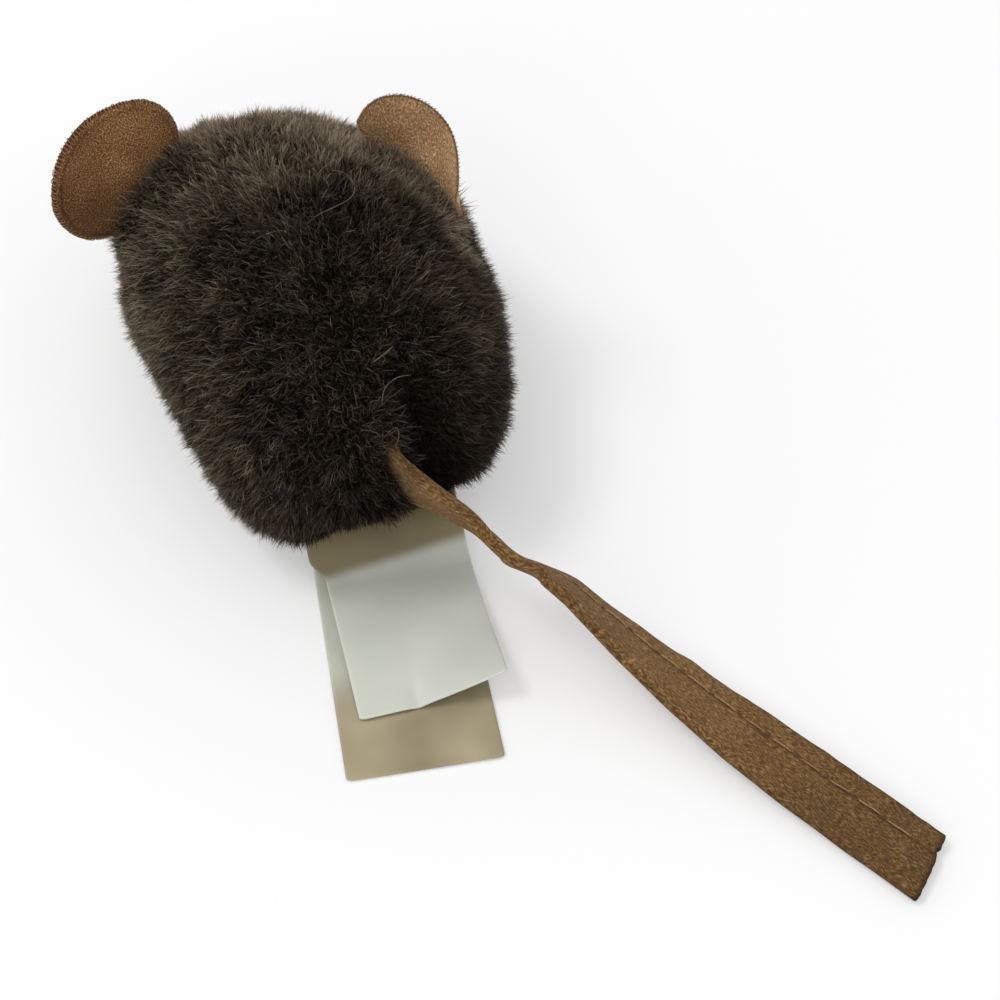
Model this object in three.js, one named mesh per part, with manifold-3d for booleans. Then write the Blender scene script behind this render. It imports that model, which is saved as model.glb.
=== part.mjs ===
// A plush mouse cat toy, in millimetres: +Y towards the nose, +Z up, the belly flat on z = 0.
import * as THREE from "three";
import { mergeVertices } from "three/addons/utils/BufferGeometryUtils.js";
import Module from "manifold-3d";

const wasm = await Module();
wasm.setup();

// Body, measured over the pile
const bodyWidth = 64;
const bodyLength = 83;
const backHeight = 46;
const girthHeight = 19;
const rumpReach = 38;
const snoutReach = 10;
const headDrift = -8;
const floorCut = 0.5;
const backingThickness = 1.5;
const pileDepth = 5;
const clearance = 0.3;
const bellySeamHeight = 6.5;
const backSeamOffset = 3;

// Ears: discs of two plies, cut off along the line that is sewn in
const earDiameter = 25;
const earHeight = 21.5;
const earPly = 0.8;
const earFoldAngle = 20;
const earSink = 1;
const earGrooveDepth = 9;
const earSpread = 2.5;

// Tail: a strip folded along its length and sewn near its open edge
const tailReach = 100.4;
const tailWidth = 11.4;
const tailPly = 0.9;
const tailSlit = 0.3;
const tailHeading = 33.5;
const tailRootHeight = 26.5;
const tailRootWidth = 10;
const tailSink = 5.6;
const tailDrop = 4;
const tailSwingLeftAngle = 4;
const tailRoomAngle = 62;
const tailGrooveDepth = 9;

// Care label: two leaves sewn in the rump seam
const labelWidth = 23.7;
const lowerLeafLength = 47.3;
const upperLeafLength = 37;
const labelFall = 13;
const leafThickness = 0.4;
const leafHem = 0.6;
const lowerLeafLie = 0.4;
const upperLeafLie = 1.6;
const lowerLeafHeading = -12;
const upperLeafHeading = -8;
const labelRootHeight = 4.6;
const lowerLeafSide = -1.5;
const upperLeafSide = -0.6;
const labelSink = 12.5;
const leafCurl = 5;
const lowerLeafLiftAngle = 10;
const upperLeafLiftAngle = 12;
const labelGrooveDepth = 12;

// Face
const eyeRadius = 2.6;
const eyeSink = 1.4;
const eyeStemRadius = 0.9;
const eyeWasherRadius = 3.2;
const eyeWasherThickness = 1;
const noseRadius = 3.4;
const noseSink = 1.6;

// Sound module
const caseLift = 2.4;
const caseRadius = 13.5;
const caseHeight = 15.5;
const caseWall = 1.2;
const lidThickness = 2;
const lidLip = 1.4;
const lidLipWall = 0.9;
const soundHoleRadius = 0.8;
const soundHoleCircle = 4.5;
const boardThickness = 1;
const boardHeight = 3.2;
const ledgeWidth = 1.1;
const sounderRadius = 8.3;
const sounderThickness = 0.5;
const sounderSeatHeight = 0.9;
const sounderSeatWidth = 1.4;
const cellRadius = 3.95;
const cellHeight = 3.6;
const cellChamfer = 0.35;
const contactRadius = 6.2;
const contactThickness = 0.3;
const chipRadius = 2.4;
const chipHeight = 1.1;
const switchRadius = 1.3;
const switchHeight = 4.6;
const switchWire = 0.36;
const switchPostRadius = 0.4;
const switchCircle = 9.3;
const bossRadius = 1.7;
const bossBite = 0.4;
const screwRadius = 0.7;
const screwLength = 7;
const screwHeadRadius = 1.3;
const screwHeadHeight = 0.8;

// Shares of the size that each row follows, at even steps from the rump to the nose
const widthShares = [1.26, 1.15, 0.92, 0.905, 0.96, 0.98, 0.64];
const backShares = [1.16, 1.04, 1.0, 1.0, 0.97, 1.15, 0.8];
const bellyShares = [1.45, 1.27, 1.12, 1.0, 1.08, 0.98, 0.6];
const girthShares = [0.98, 1.0, 1.0, 1.0, 0.96, 0.86, 0.7];
const driftShares = [0.5, 0.32, 0.13, 0, 0.3, 0.6, 0.35];
const seamShares = [0.75, 0.8, 1.0, 1.3, 1.0, 0.5, 0];

// Shares of the tail's reach and root height, and its turn in degrees, from root to tip
const tailAlongShares = [0, 0.032, 0.099, 0.157, 0.22, 0.262, 0.31, 0.377, 0.518, 0.688, 0.866, 1];
const tailSideShares = [0, 9, 1, -3, -11, -31, -50, -46, -34, -18, -4, 5].map((x) => x / 1000);
const tailRiseShares = [1, 0.992, 0.868, 0.736, 0.585, 0.483, 0.4, 0.31, 0.18, 0.1, 0.06, 0.046];
const tailTurns = [90, 94, 102, 88, 66, 57, 46, 34, 14, 2, 0, 0];

// Where the ears sit: the step from rump to nose and the angle round from the right of the hem's
// upper and lower end; how far the ear leans back, how far its sides curl back, the share of its
// height that its tip bends back, and the room it needs behind its hem
const earPlaces = {
  left: { topStep: 0.73, topAngle: 125.4, lowStep: 0.704, lowAngle: 144.1 },
  right: { topStep: 0.613, topAngle: 53, lowStep: 0.492, lowAngle: 33.6 },
};
const earLeanAngles = { left: 27.4, right: 32 };
const earCurlAngles = { left: 0, right: 59 };
const earBendShares = { left: -0.04, right: 0.23 };
const earRoomAngles = { left: 21, right: 54 };
const eyePlaces = { left: { step: 0.845, angle: 147 }, right: { step: 0.845, angle: 33 } };

// Counts of facets, and what rounds the body's section
const snoutStart = 0.82;
const backRoundness = 2.15;
const bellyRoundness = 2.5;
const bodySteps = 18;
const bodySides = 24;
const fillingSteps = 12;
const fillingSides = 16;
const earRows = 9;
const earColumns = 8;
const earTipAngle = 84;
const tailSteps = 30;
const tailFoldSides = 4;
const leafRows = 14;
const leafColumns = 7;
const roundSides = 28;
const smallSides = 12;
const soundHoles = 5;
const cellCount = 3;
const switchTurns = 5;
const switchStepsPerTurn = 8;
const wireSides = 5;
const weldDistance = 1e-4;

const degree = Math.PI / 180;
const wall = backingThickness + pileDepth;
const up = new THREE.Vector3(0, 0, 1);

// Solids and meshes
function solidOf(geometry) {
  const bare = geometry.clone();
  bare.deleteAttribute("normal");
  bare.deleteAttribute("uv");
  const welded = mergeVertices(bare, weldDistance);
  const corners = welded.index.array;
  const kept = [];
  for (let i = 0; i < corners.length; i += 3) {
    const [a, b, c] = corners.slice(i, i + 3);
    if (a !== b && b !== c && c !== a) {
      kept.push(a, b, c);
    }
  }
  return new wasm.Manifold(
    new wasm.Mesh({
      numProp: 3,
      vertProperties: welded.attributes.position.array,
      triVerts: new Uint32Array(kept),
    }),
  );
}

function geometryOf(solid) {
  const mesh = solid.getMesh();
  const geometry = new THREE.BufferGeometry();
  geometry.setAttribute("position", new THREE.BufferAttribute(mesh.vertProperties, 3));
  geometry.setIndex(new THREE.BufferAttribute(mesh.triVerts, 1));
  geometry.computeVertexNormals();
  return geometry;
}

function placed(geometry, matrix) {
  return solidOf(geometry.clone().applyMatrix4(matrix));
}

function moved(geometry, x, y, z) {
  return solidOf(geometry.clone().translate(x, y, z));
}

// A frame whose X, Y and Z run along the three given directions
function frameAt(origin, x, y, z) {
  return new THREE.Matrix4().makeBasis(x, y, z).setPosition(origin);
}

// A closed skin over rings of points; caps lists the triangles that close each end ring
function skin(rings, caps) {
  const sides = rings[0].length;
  const points = rings.flat();
  const faces = [];
  for (let row = 0; row + 1 < rings.length; row += 1) {
    for (let i = 0; i < sides; i += 1) {
      const next = (i + 1) % sides;
      const near = row * sides;
      const far = near + sides;
      faces.push(near + i, near + next, far + next, near + i, far + next, far + i);
    }
  }
  const last = (rings.length - 1) * sides;
  for (const [a, b, c] of caps) {
    faces.push(c, b, a, last + a, last + b, last + c);
  }
  const geometry = new THREE.BufferGeometry();
  const flat = points.flatMap((point) => [point.x, point.y, point.z]);
  geometry.setAttribute("position", new THREE.Float32BufferAttribute(flat, 3));
  geometry.setIndex(faces);
  return geometry;
}

// A sheet of even thickness over a grid of points, rows running along it
function sheet(rows, thickness, lift = 0) {
  const lastRow = rows.length - 1;
  const lastColumn = rows[0].length - 1;
  const normalAt = (row, column) => {
    const along = rows[Math.min(row + 1, lastRow)][column].clone();
    along.sub(rows[Math.max(row - 1, 0)][column]);
    const across = rows[row][Math.min(column + 1, lastColumn)].clone();
    across.sub(rows[row][Math.max(column - 1, 0)]);
    return across.cross(along).normalize();
  };
  const offset = (row, column, side) => {
    const off = lift + (side * thickness) / 2;
    return rows[row][column].clone().addScaledVector(normalAt(row, column), off);
  };
  const rings = rows.map((points, row) => {
    const front = points.map((_, column) => offset(row, column, 1));
    const back = points.map((_, column) => offset(row, column, -1));
    return [...front, ...back.reverse()];
  });
  const caps = [];
  const count = 2 * (lastColumn + 1);
  for (let i = 0; i < lastColumn; i += 1) {
    caps.push([i, i + 1, count - 1 - i], [i + 1, count - 2 - i, count - 1 - i]);
  }
  return skin(rings, caps);
}

// A value between the rows' shares, t running from 0 at the rump to 1 at the nose
function follow(shares, t) {
  const curve = new THREE.SplineCurve(shares.map((share, i) => new THREE.Vector2(i, share)));
  return curve.getPoint(t).y;
}

// How far the snout has come out at a step from rump to nose
function snoutShare(t) {
  return Math.max(0, (t - snoutStart) / (1 - snoutStart)) ** (3 / 2);
}

// A point of the body; angle runs round it from its right side over the back
function bodyPoint(t, angle, inset) {
  const swell = Math.sin(Math.PI * t);
  const along = (1 - Math.cos(Math.PI * t)) / 2;
  const side = Math.cos(angle);
  const rise = Math.sin(angle);
  const power = 2 / (rise > 0 ? backRoundness : bellyRoundness);
  const halfWidth = (bodyWidth / 2 - inset) * swell * follow(widthShares, t);
  const above = (backHeight - girthHeight - inset) * follow(backShares, t);
  const below = (girthHeight + floorCut - inset) * follow(bellyShares, t);
  const reach = swell * (rise > 0 ? above : below);
  return new THREE.Vector3(
    headDrift * follow(driftShares, t) + halfWidth * Math.sign(side) * Math.abs(side) ** power,
    along * (bodyLength - 2 * inset) + inset - rumpReach + (snoutReach - inset) * snoutShare(t),
    girthHeight * follow(girthShares, t) + reach * Math.sign(rise) * Math.abs(rise) ** power,
  );
}

function bodyNormal(t, angle) {
  const small = 0.01;
  const along = bodyPoint(t + small, angle, 0).sub(bodyPoint(t - small, angle, 0));
  const round = bodyPoint(t, angle + small, 0).sub(bodyPoint(t, angle - small, 0));
  return along.cross(round).normalize();
}

function bodySolid(inset, steps, sides) {
  const rings = [];
  for (let step = 0; step <= steps; step += 1) {
    const ring = [];
    for (let side = 0; side < sides; side += 1) {
      const angle = (2 * Math.PI * side) / sides;
      ring.push(bodyPoint(step / steps, angle, inset));
    }
    rings.push(ring.reverse());
  }
  const floor = new THREE.BoxGeometry(2 * bodyWidth, 2 * bodyLength, 2 * backHeight);
  return solidOf(skin(rings, [])).intersect(moved(floor, 0, 0, backHeight + inset));
}

function backSeamSide(t) {
  return headDrift * follow(driftShares, t) + backSeamOffset * follow(seamShares, t);
}

// The largest body of a solid, without slivers that a cut leaves beside it
function mainBody(solid) {
  return solid.decompose().reduce((a, b) => (a.volume() > b.volume() ? a : b));
}

// The part of space above the belly seam on one side of the back seam
function sideBlock(side) {
  const edge = [];
  for (let step = 0; step <= bodySteps; step += 1) {
    const t = step / bodySteps;
    const x = backSeamSide(t) + (side * clearance) / 2;
    edge.push(new THREE.Vector2(x, bodyPoint(t, 0, 0).y));
  }
  const shape = new THREE.Shape([
    new THREE.Vector2(side * bodyWidth, -bodyLength),
    new THREE.Vector2(edge[0].x, -bodyLength),
    ...edge,
    new THREE.Vector2(edge[bodySteps].x, bodyLength),
    new THREE.Vector2(side * bodyWidth, bodyLength),
  ]);
  const block = new THREE.ExtrudeGeometry(shape, { depth: 2 * backHeight, bevelEnabled: false });
  return moved(block, 0, 0, bellySeamHeight + clearance / 2);
}

function bellyBlock() {
  const block = new THREE.BoxGeometry(2 * bodyWidth, 2 * bodyLength, bellySeamHeight);
  return moved(block, 0, 0, (bellySeamHeight - clearance) / 2);
}

// A V-shaped groove round a sewn hem that leaves its ply room to fold. X runs along the hem and
// Y out of the body; minus and plus are the folds towards -Z and +Z, in degrees
function foldGroove(place, length, hemRadius, depth, minus, plus) {
  const open = hemRadius + clearance;
  const long = length + 2 * clearance;
  const hem = new THREE.CylinderGeometry(open, open, long, smallSides).rotateZ(Math.PI / 2);
  const shape = new THREE.Shape([
    new THREE.Vector2(-open, 0),
    new THREE.Vector2(open, 0),
    new THREE.Vector2(open + depth * Math.tan(plus * degree), depth),
    new THREE.Vector2(-open - depth * Math.tan(minus * degree), depth),
  ]);
  const wedge = new THREE.ExtrudeGeometry(shape, { depth: long, bevelEnabled: false });
  wedge.translate(0, 0, -long / 2).rotateY(-Math.PI / 2);
  return placed(hem, place).add(placed(wedge, place));
}

// Ears. The frame of an ear has X along its hem, Y out to its tip and Z backwards
const earHem = clearance / 2 + earPly;
const earChord = 2 * Math.sqrt((earDiameter / 2) ** 2 - (earHeight - earDiameter / 2) ** 2);
const earGrooveLength = earChord + 2 * earSpread;

function earFrame(side) {
  const { topStep, topAngle, lowStep, lowAngle } = earPlaces[side];
  const top = bodyPoint(topStep, topAngle * degree, earSink);
  const low = bodyPoint(lowStep, lowAngle * degree, earSink);
  const middle = top.clone().add(low).divideScalar(2);
  const outward = bodyNormal((topStep + lowStep) / 2, ((topAngle + lowAngle) / 2) * degree);
  const hem = side === "left" ? top.sub(low) : low.sub(top);
  hem.normalize();
  const tip = outward.addScaledVector(hem, -outward.dot(hem)).normalize();
  tip.applyAxisAngle(hem, earLeanAngles[side] * degree);
  return frameAt(middle, hem, tip, hem.clone().cross(tip));
}

// One ply of an ear; ply is 1 for the one that faces back and -1 for the one that faces forward
function earPlyGeometry(side, ply) {
  const radius = earDiameter / 2;
  const centre = earHeight - radius;
  const foot = ply < 0 ? earHem + clearance : 0;
  const start = Math.asin((foot - centre) / radius);
  const curl = earCurlAngles[side] * degree;
  const rows = [];
  for (let row = 0; row <= earRows; row += 1) {
    const angle = start + ((earTipAngle * degree - start) * row) / earRows;
    const height = centre + radius * Math.sin(angle);
    const half = radius * Math.cos(angle);
    const rise = height / earHeight;
    const points = [];
    for (let column = 0; column <= earColumns; column += 1) {
      const across = half * ((2 * column) / earColumns - 1);
      const turn = (curl * across) / radius;
      const aside = curl > 0 ? (radius * Math.sin(turn)) / curl : across;
      const bowl = curl > 0 ? (radius * (1 - Math.cos(turn))) / curl : 0;
      const bend = earHeight * earBendShares[side] * rise ** 2;
      points.push(new THREE.Vector3(aside, height, bowl * Math.min(1, 2 * rise) + bend));
    }
    rows.push(points);
  }
  return sheet(rows, earPly, (ply * (clearance + earPly)) / 2);
}

// Tail. The strip stands on edge in the back seam, then turns over to lie on the floor
const tailHem = tailPly + tailSlit / 2;
const tailRoot = new THREE.Vector3(backSeamSide(0), tailSink - rumpReach, tailRootHeight);

function tailFrame(drop) {
  const back = new THREE.Vector3(0, -1, 0);
  const origin = tailRoot.clone().addScaledVector(up, -drop);
  return frameAt(origin, up, back, up.clone().cross(back));
}

// The path across the folded strip, from the open edge of one ply round to that of the other
function tailSection(width) {
  const middle = (tailPly + tailSlit) / 2;
  const fold = width / 2 - tailHem;
  const path = [new THREE.Vector2(-width / 2, middle), new THREE.Vector2(0, middle)];
  for (let i = 0; i <= tailFoldSides; i += 1) {
    const angle = Math.PI / 2 - (Math.PI * i) / tailFoldSides;
    path.push(new THREE.Vector2(fold + middle * Math.cos(angle), middle * Math.sin(angle)));
  }
  path.push(new THREE.Vector2(0, -middle), new THREE.Vector2(-width / 2, -middle));
  return path;
}

// The middle of the strip at a share of its stations
function tailPoint(t) {
  const heading = new THREE.Vector3(0, -1, 0).applyAxisAngle(up, tailHeading * degree);
  const left = heading.clone().cross(up);
  const point = tailRoot.clone();
  point.addScaledVector(heading, tailReach * follow(tailAlongShares, t));
  point.addScaledVector(left, tailReach * follow(tailSideShares, t));
  point.z = tailRootHeight * follow(tailRiseShares, t);
  return point;
}

function tailGeometry() {
  const rows = [];
  for (let step = 0; step <= tailSteps; step += 1) {
    const t = step / tailSteps;
    const before = tailPoint(Math.max(0, (step - 1 / 2) / tailSteps));
    const after = tailPoint(Math.min(1, (step + 1 / 2) / tailSteps));
    const tangent = after.sub(before);
    if (step === 0) {
      tangent.z = 0;
    }
    tangent.normalize();
    const left = tangent.clone().cross(up).normalize();
    const rise = left.clone().cross(tangent);
    const turn = follow(tailTurns, t) * degree;
    const across = left.multiplyScalar(Math.cos(turn)).addScaledVector(rise, Math.sin(turn));
    const depth = across.clone().cross(tangent);
    const wide = THREE.MathUtils.smoothstep(t, 0, 1 / 2);
    const section = tailSection(THREE.MathUtils.lerp(tailRootWidth, tailWidth, wide));
    const centre = tailPoint(t);
    rows.push(
      section.map((point) =>
        centre.clone().addScaledVector(across, point.x).addScaledVector(depth, point.y),
      ),
    );
  }
  return sheet(rows, tailPly);
}

// Label. The frame of a leaf has X along its hem to the left, Y back along the leaf and Z up
const upperLeafRise = 2 * leafHem + clearance;

function labelFrame(heading, side, rise) {
  const back = new THREE.Vector3(0, -1, 0).applyAxisAngle(up, heading * degree);
  const root = new THREE.Vector3(side, labelSink - rumpReach, labelRootHeight + rise);
  return frameAt(root, back.clone().cross(up), back, up);
}

// A leaf falls from its hem to its lie over the floor, and its right corner curls up
function leafGeometry(length, root, lie, curl) {
  const rows = [];
  for (let row = 0; row <= leafRows; row += 1) {
    const share = row / leafRows;
    const fall = THREE.MathUtils.smoothstep(share * length, leafHem, labelFall);
    const points = [];
    for (let column = 0; column <= leafColumns; column += 1) {
      const across = column / leafColumns;
      const lift = curl * share ** 3 * (1 - across) ** 2;
      const height = lift - (root - lie) * fall;
      points.push(new THREE.Vector3(labelWidth * (across - 1 / 2), share * length, height));
    }
    rows.push(points);
  }
  return sheet(rows, leafThickness);
}

function hemOf(radius, length) {
  return new THREE.CylinderGeometry(radius, radius, length, smallSides).rotateZ(Math.PI / 2);
}

// Materials by finish
function finish(color, roughness, metalness) {
  return new THREE.MeshStandardMaterial({ color, roughness, metalness });
}

const materials = {
  plush: () => finish(0x3a302a, 0.95, 0),
  belly: () => finish(0x4a4038, 0.95, 0),
  filling: () => finish(0xe8e6df, 1, 0),
  suede: () => finish(0x7d5a3c, 0.9, 0),
  satin: () => finish(0xd8d8cc, 0.5, 0),
  tape: () => finish(0xb9aa8c, 0.55, 0),
  gloss: () => finish(0x0c0a09, 0.12, 0),
  thread: () => finish(0x2a1c16, 0.7, 0),
  case: () => finish(0xe9e6dc, 0.4, 0),
  board: () => finish(0x2f6b3c, 0.5, 0),
  resin: () => finish(0x0d0d0d, 0.4, 0),
  foam: () => finish(0x3a3a3c, 0.95, 0),
  brass: () => finish(0xb89a55, 0.35, 1),
  steel: () => finish(0xb8babc, 0.3, 1),
};

const mouse = new THREE.Group();

function addMesh(name, solid, material, parent = mouse) {
  const mesh = new THREE.Mesh(geometryOf(solid), material);
  mesh.name = name;
  parent.add(mesh);
}

function addGroup(frame) {
  const group = new THREE.Group();
  group.applyMatrix4(frame);
  mouse.add(group);
  return group;
}

// A solid of revolution about +Z from radius and height pairs
function turned(profile, sides) {
  const points = profile.map(([radius, height]) => new THREE.Vector2(radius, height));
  return new THREE.LatheGeometry(points, sides).rotateX(Math.PI / 2);
}

function disc(radius, low, high, sides = roundSides) {
  return turned([[0, low], [radius, low], [radius, high], [0, high]], sides);
}

// Eyes: a dome on a stem through the panel, held by a washer behind it
function eyeFrame(side) {
  const { step, angle } = eyePlaces[side];
  const out = bodyNormal(step, angle * degree);
  const place = bodyPoint(step, angle * degree, 0).addScaledVector(out, -eyeSink);
  const along = new THREE.Vector3().crossVectors(up, out).normalize();
  return frameAt(place, along, out.clone().cross(along), out);
}

const eyeStemLength = wall + eyeWasherThickness;
const washerTop = eyeSink - wall - clearance;

function eyeGeometry() {
  const profile = [[0, -eyeStemLength], [eyeStemRadius, -eyeStemLength], [eyeStemRadius, 0]];
  for (let i = 0; i <= smallSides / 2; i += 1) {
    const angle = (Math.PI * i) / smallSides;
    profile.push([eyeRadius * Math.cos(angle), eyeRadius * Math.sin(angle)]);
  }
  profile[profile.length - 1][0] = 0;
  return turned(profile, smallSides);
}

function washerGeometry() {
  const hole = eyeStemRadius + clearance;
  const low = washerTop - eyeWasherThickness;
  return turned(
    [[hole, low], [eyeWasherRadius, low], [eyeWasherRadius, washerTop], [hole, washerTop], [hole, low]],
    smallSides,
  );
}

// The room that an eye, its stem and its washer take from the panel and the filling
function eyeRoom(frame) {
  const deep = -eyeStemLength - clearance;
  const seat = disc(eyeRadius + clearance, -clearance, eyeRadius + eyeSink, smallSides);
  const bore = disc(eyeStemRadius + clearance, deep, 0, smallSides);
  const back = disc(eyeWasherRadius + clearance, deep - wall, washerTop + clearance, smallSides);
  return placed(seat, frame).add(placed(bore, frame)).add(placed(back, frame));
}

function noseGeometry(grown) {
  const nose = new THREE.SphereGeometry(noseRadius + grown, smallSides, smallSides / 2);
  const tip = bodyPoint(1, 0, 0);
  return nose.translate(tip.x, tip.y - noseSink, tip.z);
}

// Cover panels and filling
const leftEar = earFrame("left");
const rightEar = earFrame("right");
const lowerLabel = labelFrame(lowerLeafHeading, lowerLeafSide, 0);
const upperLabel = labelFrame(upperLeafHeading, upperLeafSide, upperLeafRise);
const eyeFrames = { left: eyeFrame("left"), right: eyeFrame("right") };
const caseBottom = wall + clearance + caseLift;

const cover = bodySolid(0, bodySteps, bodySides)
  .subtract(bodySolid(wall, fillingSteps, fillingSides))
  .subtract(foldGroove(leftEar, earGrooveLength, earHem, earGrooveDepth, earFoldAngle, earRoomAngles.left))
  .subtract(foldGroove(rightEar, earGrooveLength, earHem, earGrooveDepth, earFoldAngle, earRoomAngles.right))
  .subtract(
    foldGroove(
      tailFrame(tailDrop / 2),
      tailRootWidth + tailDrop,
      tailHem,
      tailGrooveDepth,
      tailSwingLeftAngle,
      tailRoomAngle,
    ),
  )
  .subtract(foldGroove(lowerLabel, labelWidth, leafHem, labelGrooveDepth, 0, lowerLeafLiftAngle))
  .subtract(
    foldGroove(
      upperLabel,
      labelWidth,
      leafHem + upperLeafRise * Math.sin(lowerLeafLiftAngle * degree),
      labelGrooveDepth,
      0,
      lowerLeafLiftAngle + upperLeafLiftAngle,
    ),
  )
  .subtract(eyeRoom(eyeFrames.left))
  .subtract(eyeRoom(eyeFrames.right))
  .subtract(solidOf(noseGeometry(clearance)));

const pocket = disc(caseRadius + clearance, 0, caseBottom + caseHeight + clearance);
const filling = bodySolid(wall + clearance, fillingSteps, fillingSides)
  .subtract(solidOf(pocket))
  .subtract(eyeRoom(eyeFrames.left))
  .subtract(eyeRoom(eyeFrames.right));

addMesh("left_side_panel", mainBody(cover.intersect(sideBlock(-1))), materials.plush());
addMesh("right_side_panel", mainBody(cover.intersect(sideBlock(1))), materials.plush());
addMesh("belly_panel", mainBody(cover.intersect(bellyBlock())), materials.belly());
addMesh("fibre_filling", filling, materials.filling());

// Face
for (const side of ["left", "right"]) {
  const group = addGroup(eyeFrames[side]);
  addMesh(`${side}_eye`, solidOf(eyeGeometry()), materials.gloss(), group);
  addMesh(`${side}_eye_washer`, solidOf(washerGeometry()), materials.case(), group);
}
addMesh("nose", solidOf(noseGeometry(0)), materials.thread());

// Ears, tail and label
for (const [side, frame] of [["left", leftEar], ["right", rightEar]]) {
  const group = addGroup(frame);
  const backPly = solidOf(earPlyGeometry(side, 1)).add(solidOf(hemOf(earHem, earChord)));
  addMesh(`${side}_ear_back_ply`, backPly, materials.suede(), group);
  addMesh(`${side}_ear_front_ply`, solidOf(earPlyGeometry(side, -1)), materials.suede(), group);
}

const tailBead = placed(hemOf(tailHem, tailRootWidth), tailFrame(0));
addMesh("tail_strip", solidOf(tailGeometry()).add(tailBead), materials.suede());

function addLeaf(name, frame, length, root, lie, curl, material) {
  const hem = solidOf(hemOf(leafHem, labelWidth));
  const leaf = solidOf(leafGeometry(length, root, lie, curl)).add(hem);
  addMesh(name, leaf, material, addGroup(frame));
}

addLeaf(
  "label_lower_leaf",
  lowerLabel,
  lowerLeafLength,
  labelRootHeight,
  lowerLeafLie,
  0,
  materials.tape(),
);
addLeaf(
  "label_upper_leaf",
  upperLabel,
  upperLeafLength,
  labelRootHeight + upperLeafRise,
  upperLeafLie,
  leafCurl,
  materials.satin(),
);

// Sound module, stacked up from the floor of its case
const caseInside = caseRadius - caseWall;
const baseHeight = caseHeight - lidThickness - clearance;
const ledgeTop = caseWall + boardHeight;
const boardBottom = ledgeTop + clearance;
const boardTop = boardBottom + boardThickness;
const cellBottom = boardTop + clearance;
const contactBottom = cellBottom + cellHeight + clearance;
const foamBottom = contactBottom + contactThickness + clearance;
const lidBottom = baseHeight + clearance;
const foamTop = lidBottom - clearance;
const bossCircle = caseInside - bossRadius + bossBite;
const cellCircle = (2 * cellRadius + clearance) / (2 * Math.sin(Math.PI / cellCount));
const screwHole = screwRadius + clearance;
const headSeat = caseHeight - screwHeadHeight - clearance;
const module = addGroup(new THREE.Matrix4().makeTranslation(0, 0, caseBottom));

function around(count, radius, index) {
  const angle = Math.PI / 2 + (2 * Math.PI * index) / count;
  return [radius * Math.cos(angle), radius * Math.sin(angle)];
}

function caseBase() {
  const seatInside = sounderRadius - sounderSeatWidth;
  const seatTop = caseWall + sounderSeatHeight;
  const profile = [
    [0, 0],
    [caseRadius, 0],
    [caseRadius, baseHeight],
    [caseInside, baseHeight],
    [caseInside, ledgeTop],
    [caseInside - ledgeWidth, ledgeTop],
    [caseInside - ledgeWidth, caseWall],
    [sounderRadius, caseWall],
    [sounderRadius, seatTop],
    [seatInside, seatTop],
    [seatInside, caseWall],
    [0, caseWall],
  ];
  let base = solidOf(turned(profile, roundSides));
  for (const side of [-1, 1]) {
    const boss = disc(bossRadius, caseWall / 2, baseHeight - clearance, smallSides);
    base = base.add(moved(boss, side * bossCircle, 0, 0));
    const hole = disc(screwHole, caseWall, caseHeight, smallSides);
    base = base.subtract(moved(hole, side * bossCircle, 0, 0));
  }
  for (let i = 0; i < soundHoles; i += 1) {
    const hole = disc(soundHoleRadius, -caseWall, 2 * caseWall, smallSides);
    base = base.subtract(moved(hole, ...around(soundHoles, soundHoleCircle, i), 0));
  }
  return base;
}

function caseLid() {
  const lipOutside = caseInside - clearance;
  const lipInside = lipOutside - lidLipWall;
  const profile = [
    [0, lidBottom],
    [lipInside, lidBottom],
    [lipInside, lidBottom - lidLip],
    [lipOutside, lidBottom - lidLip],
    [lipOutside, lidBottom],
    [caseRadius, lidBottom],
    [caseRadius, caseHeight],
    [0, caseHeight],
  ];
  let lid = solidOf(turned(profile, roundSides));
  for (const side of [-1, 1]) {
    const notch = disc(bossRadius + clearance, lidBottom - 2 * lidLip, lidBottom, smallSides);
    const hole = disc(screwHole, lidBottom - lidLip, caseHeight + clearance, smallSides);
    const seat = disc(screwHeadRadius + clearance, headSeat, caseHeight + clearance, smallSides);
    for (const cut of [notch, hole, seat]) {
      lid = lid.subtract(moved(cut, side * bossCircle, 0, 0));
    }
  }
  return lid;
}

function circuitBoard() {
  let board = solidOf(disc(caseInside - clearance, boardBottom, boardTop));
  for (const side of [-1, 1]) {
    const notch = disc(bossRadius + clearance, ledgeTop, boardTop + clearance, smallSides);
    board = board.subtract(moved(notch, side * bossCircle, 0, 0));
  }
  return board;
}

function buttonCell() {
  const top = cellBottom + cellHeight;
  const profile = [
    [0, cellBottom],
    [cellRadius - cellChamfer, cellBottom],
    [cellRadius, cellBottom + cellChamfer],
    [cellRadius, top - cellChamfer],
    [cellRadius - cellChamfer, top],
    [0, top],
  ];
  return turned(profile, roundSides);
}

function lidScrew() {
  const profile = [
    [0, headSeat + clearance - screwLength],
    [screwRadius, headSeat + clearance - screwLength],
    [screwRadius, headSeat + clearance],
    [screwHeadRadius, headSeat + clearance],
    [screwHeadRadius, caseHeight],
    [0, caseHeight],
  ];
  return turned(profile, smallSides);
}

// The shake switch is a fine spring round a post: the spring sways against the post
class Helix extends THREE.Curve {
  getPoint(t, target = new THREE.Vector3()) {
    const angle = 2 * Math.PI * switchTurns * t;
    const radius = switchRadius - switchWire / 2;
    const height = switchWire / 2 + (switchHeight - switchWire) * t;
    return target.set(radius * Math.cos(angle), radius * Math.sin(angle), height);
  }
}

function switchSpring() {
  const wire = new THREE.Shape();
  wire.absarc(0, 0, switchWire / 2, 0, 2 * Math.PI);
  return new THREE.ExtrudeGeometry(wire, {
    steps: switchTurns * switchStepsPerTurn,
    extrudePath: new Helix(),
    curveSegments: wireSides,
  });
}

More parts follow.
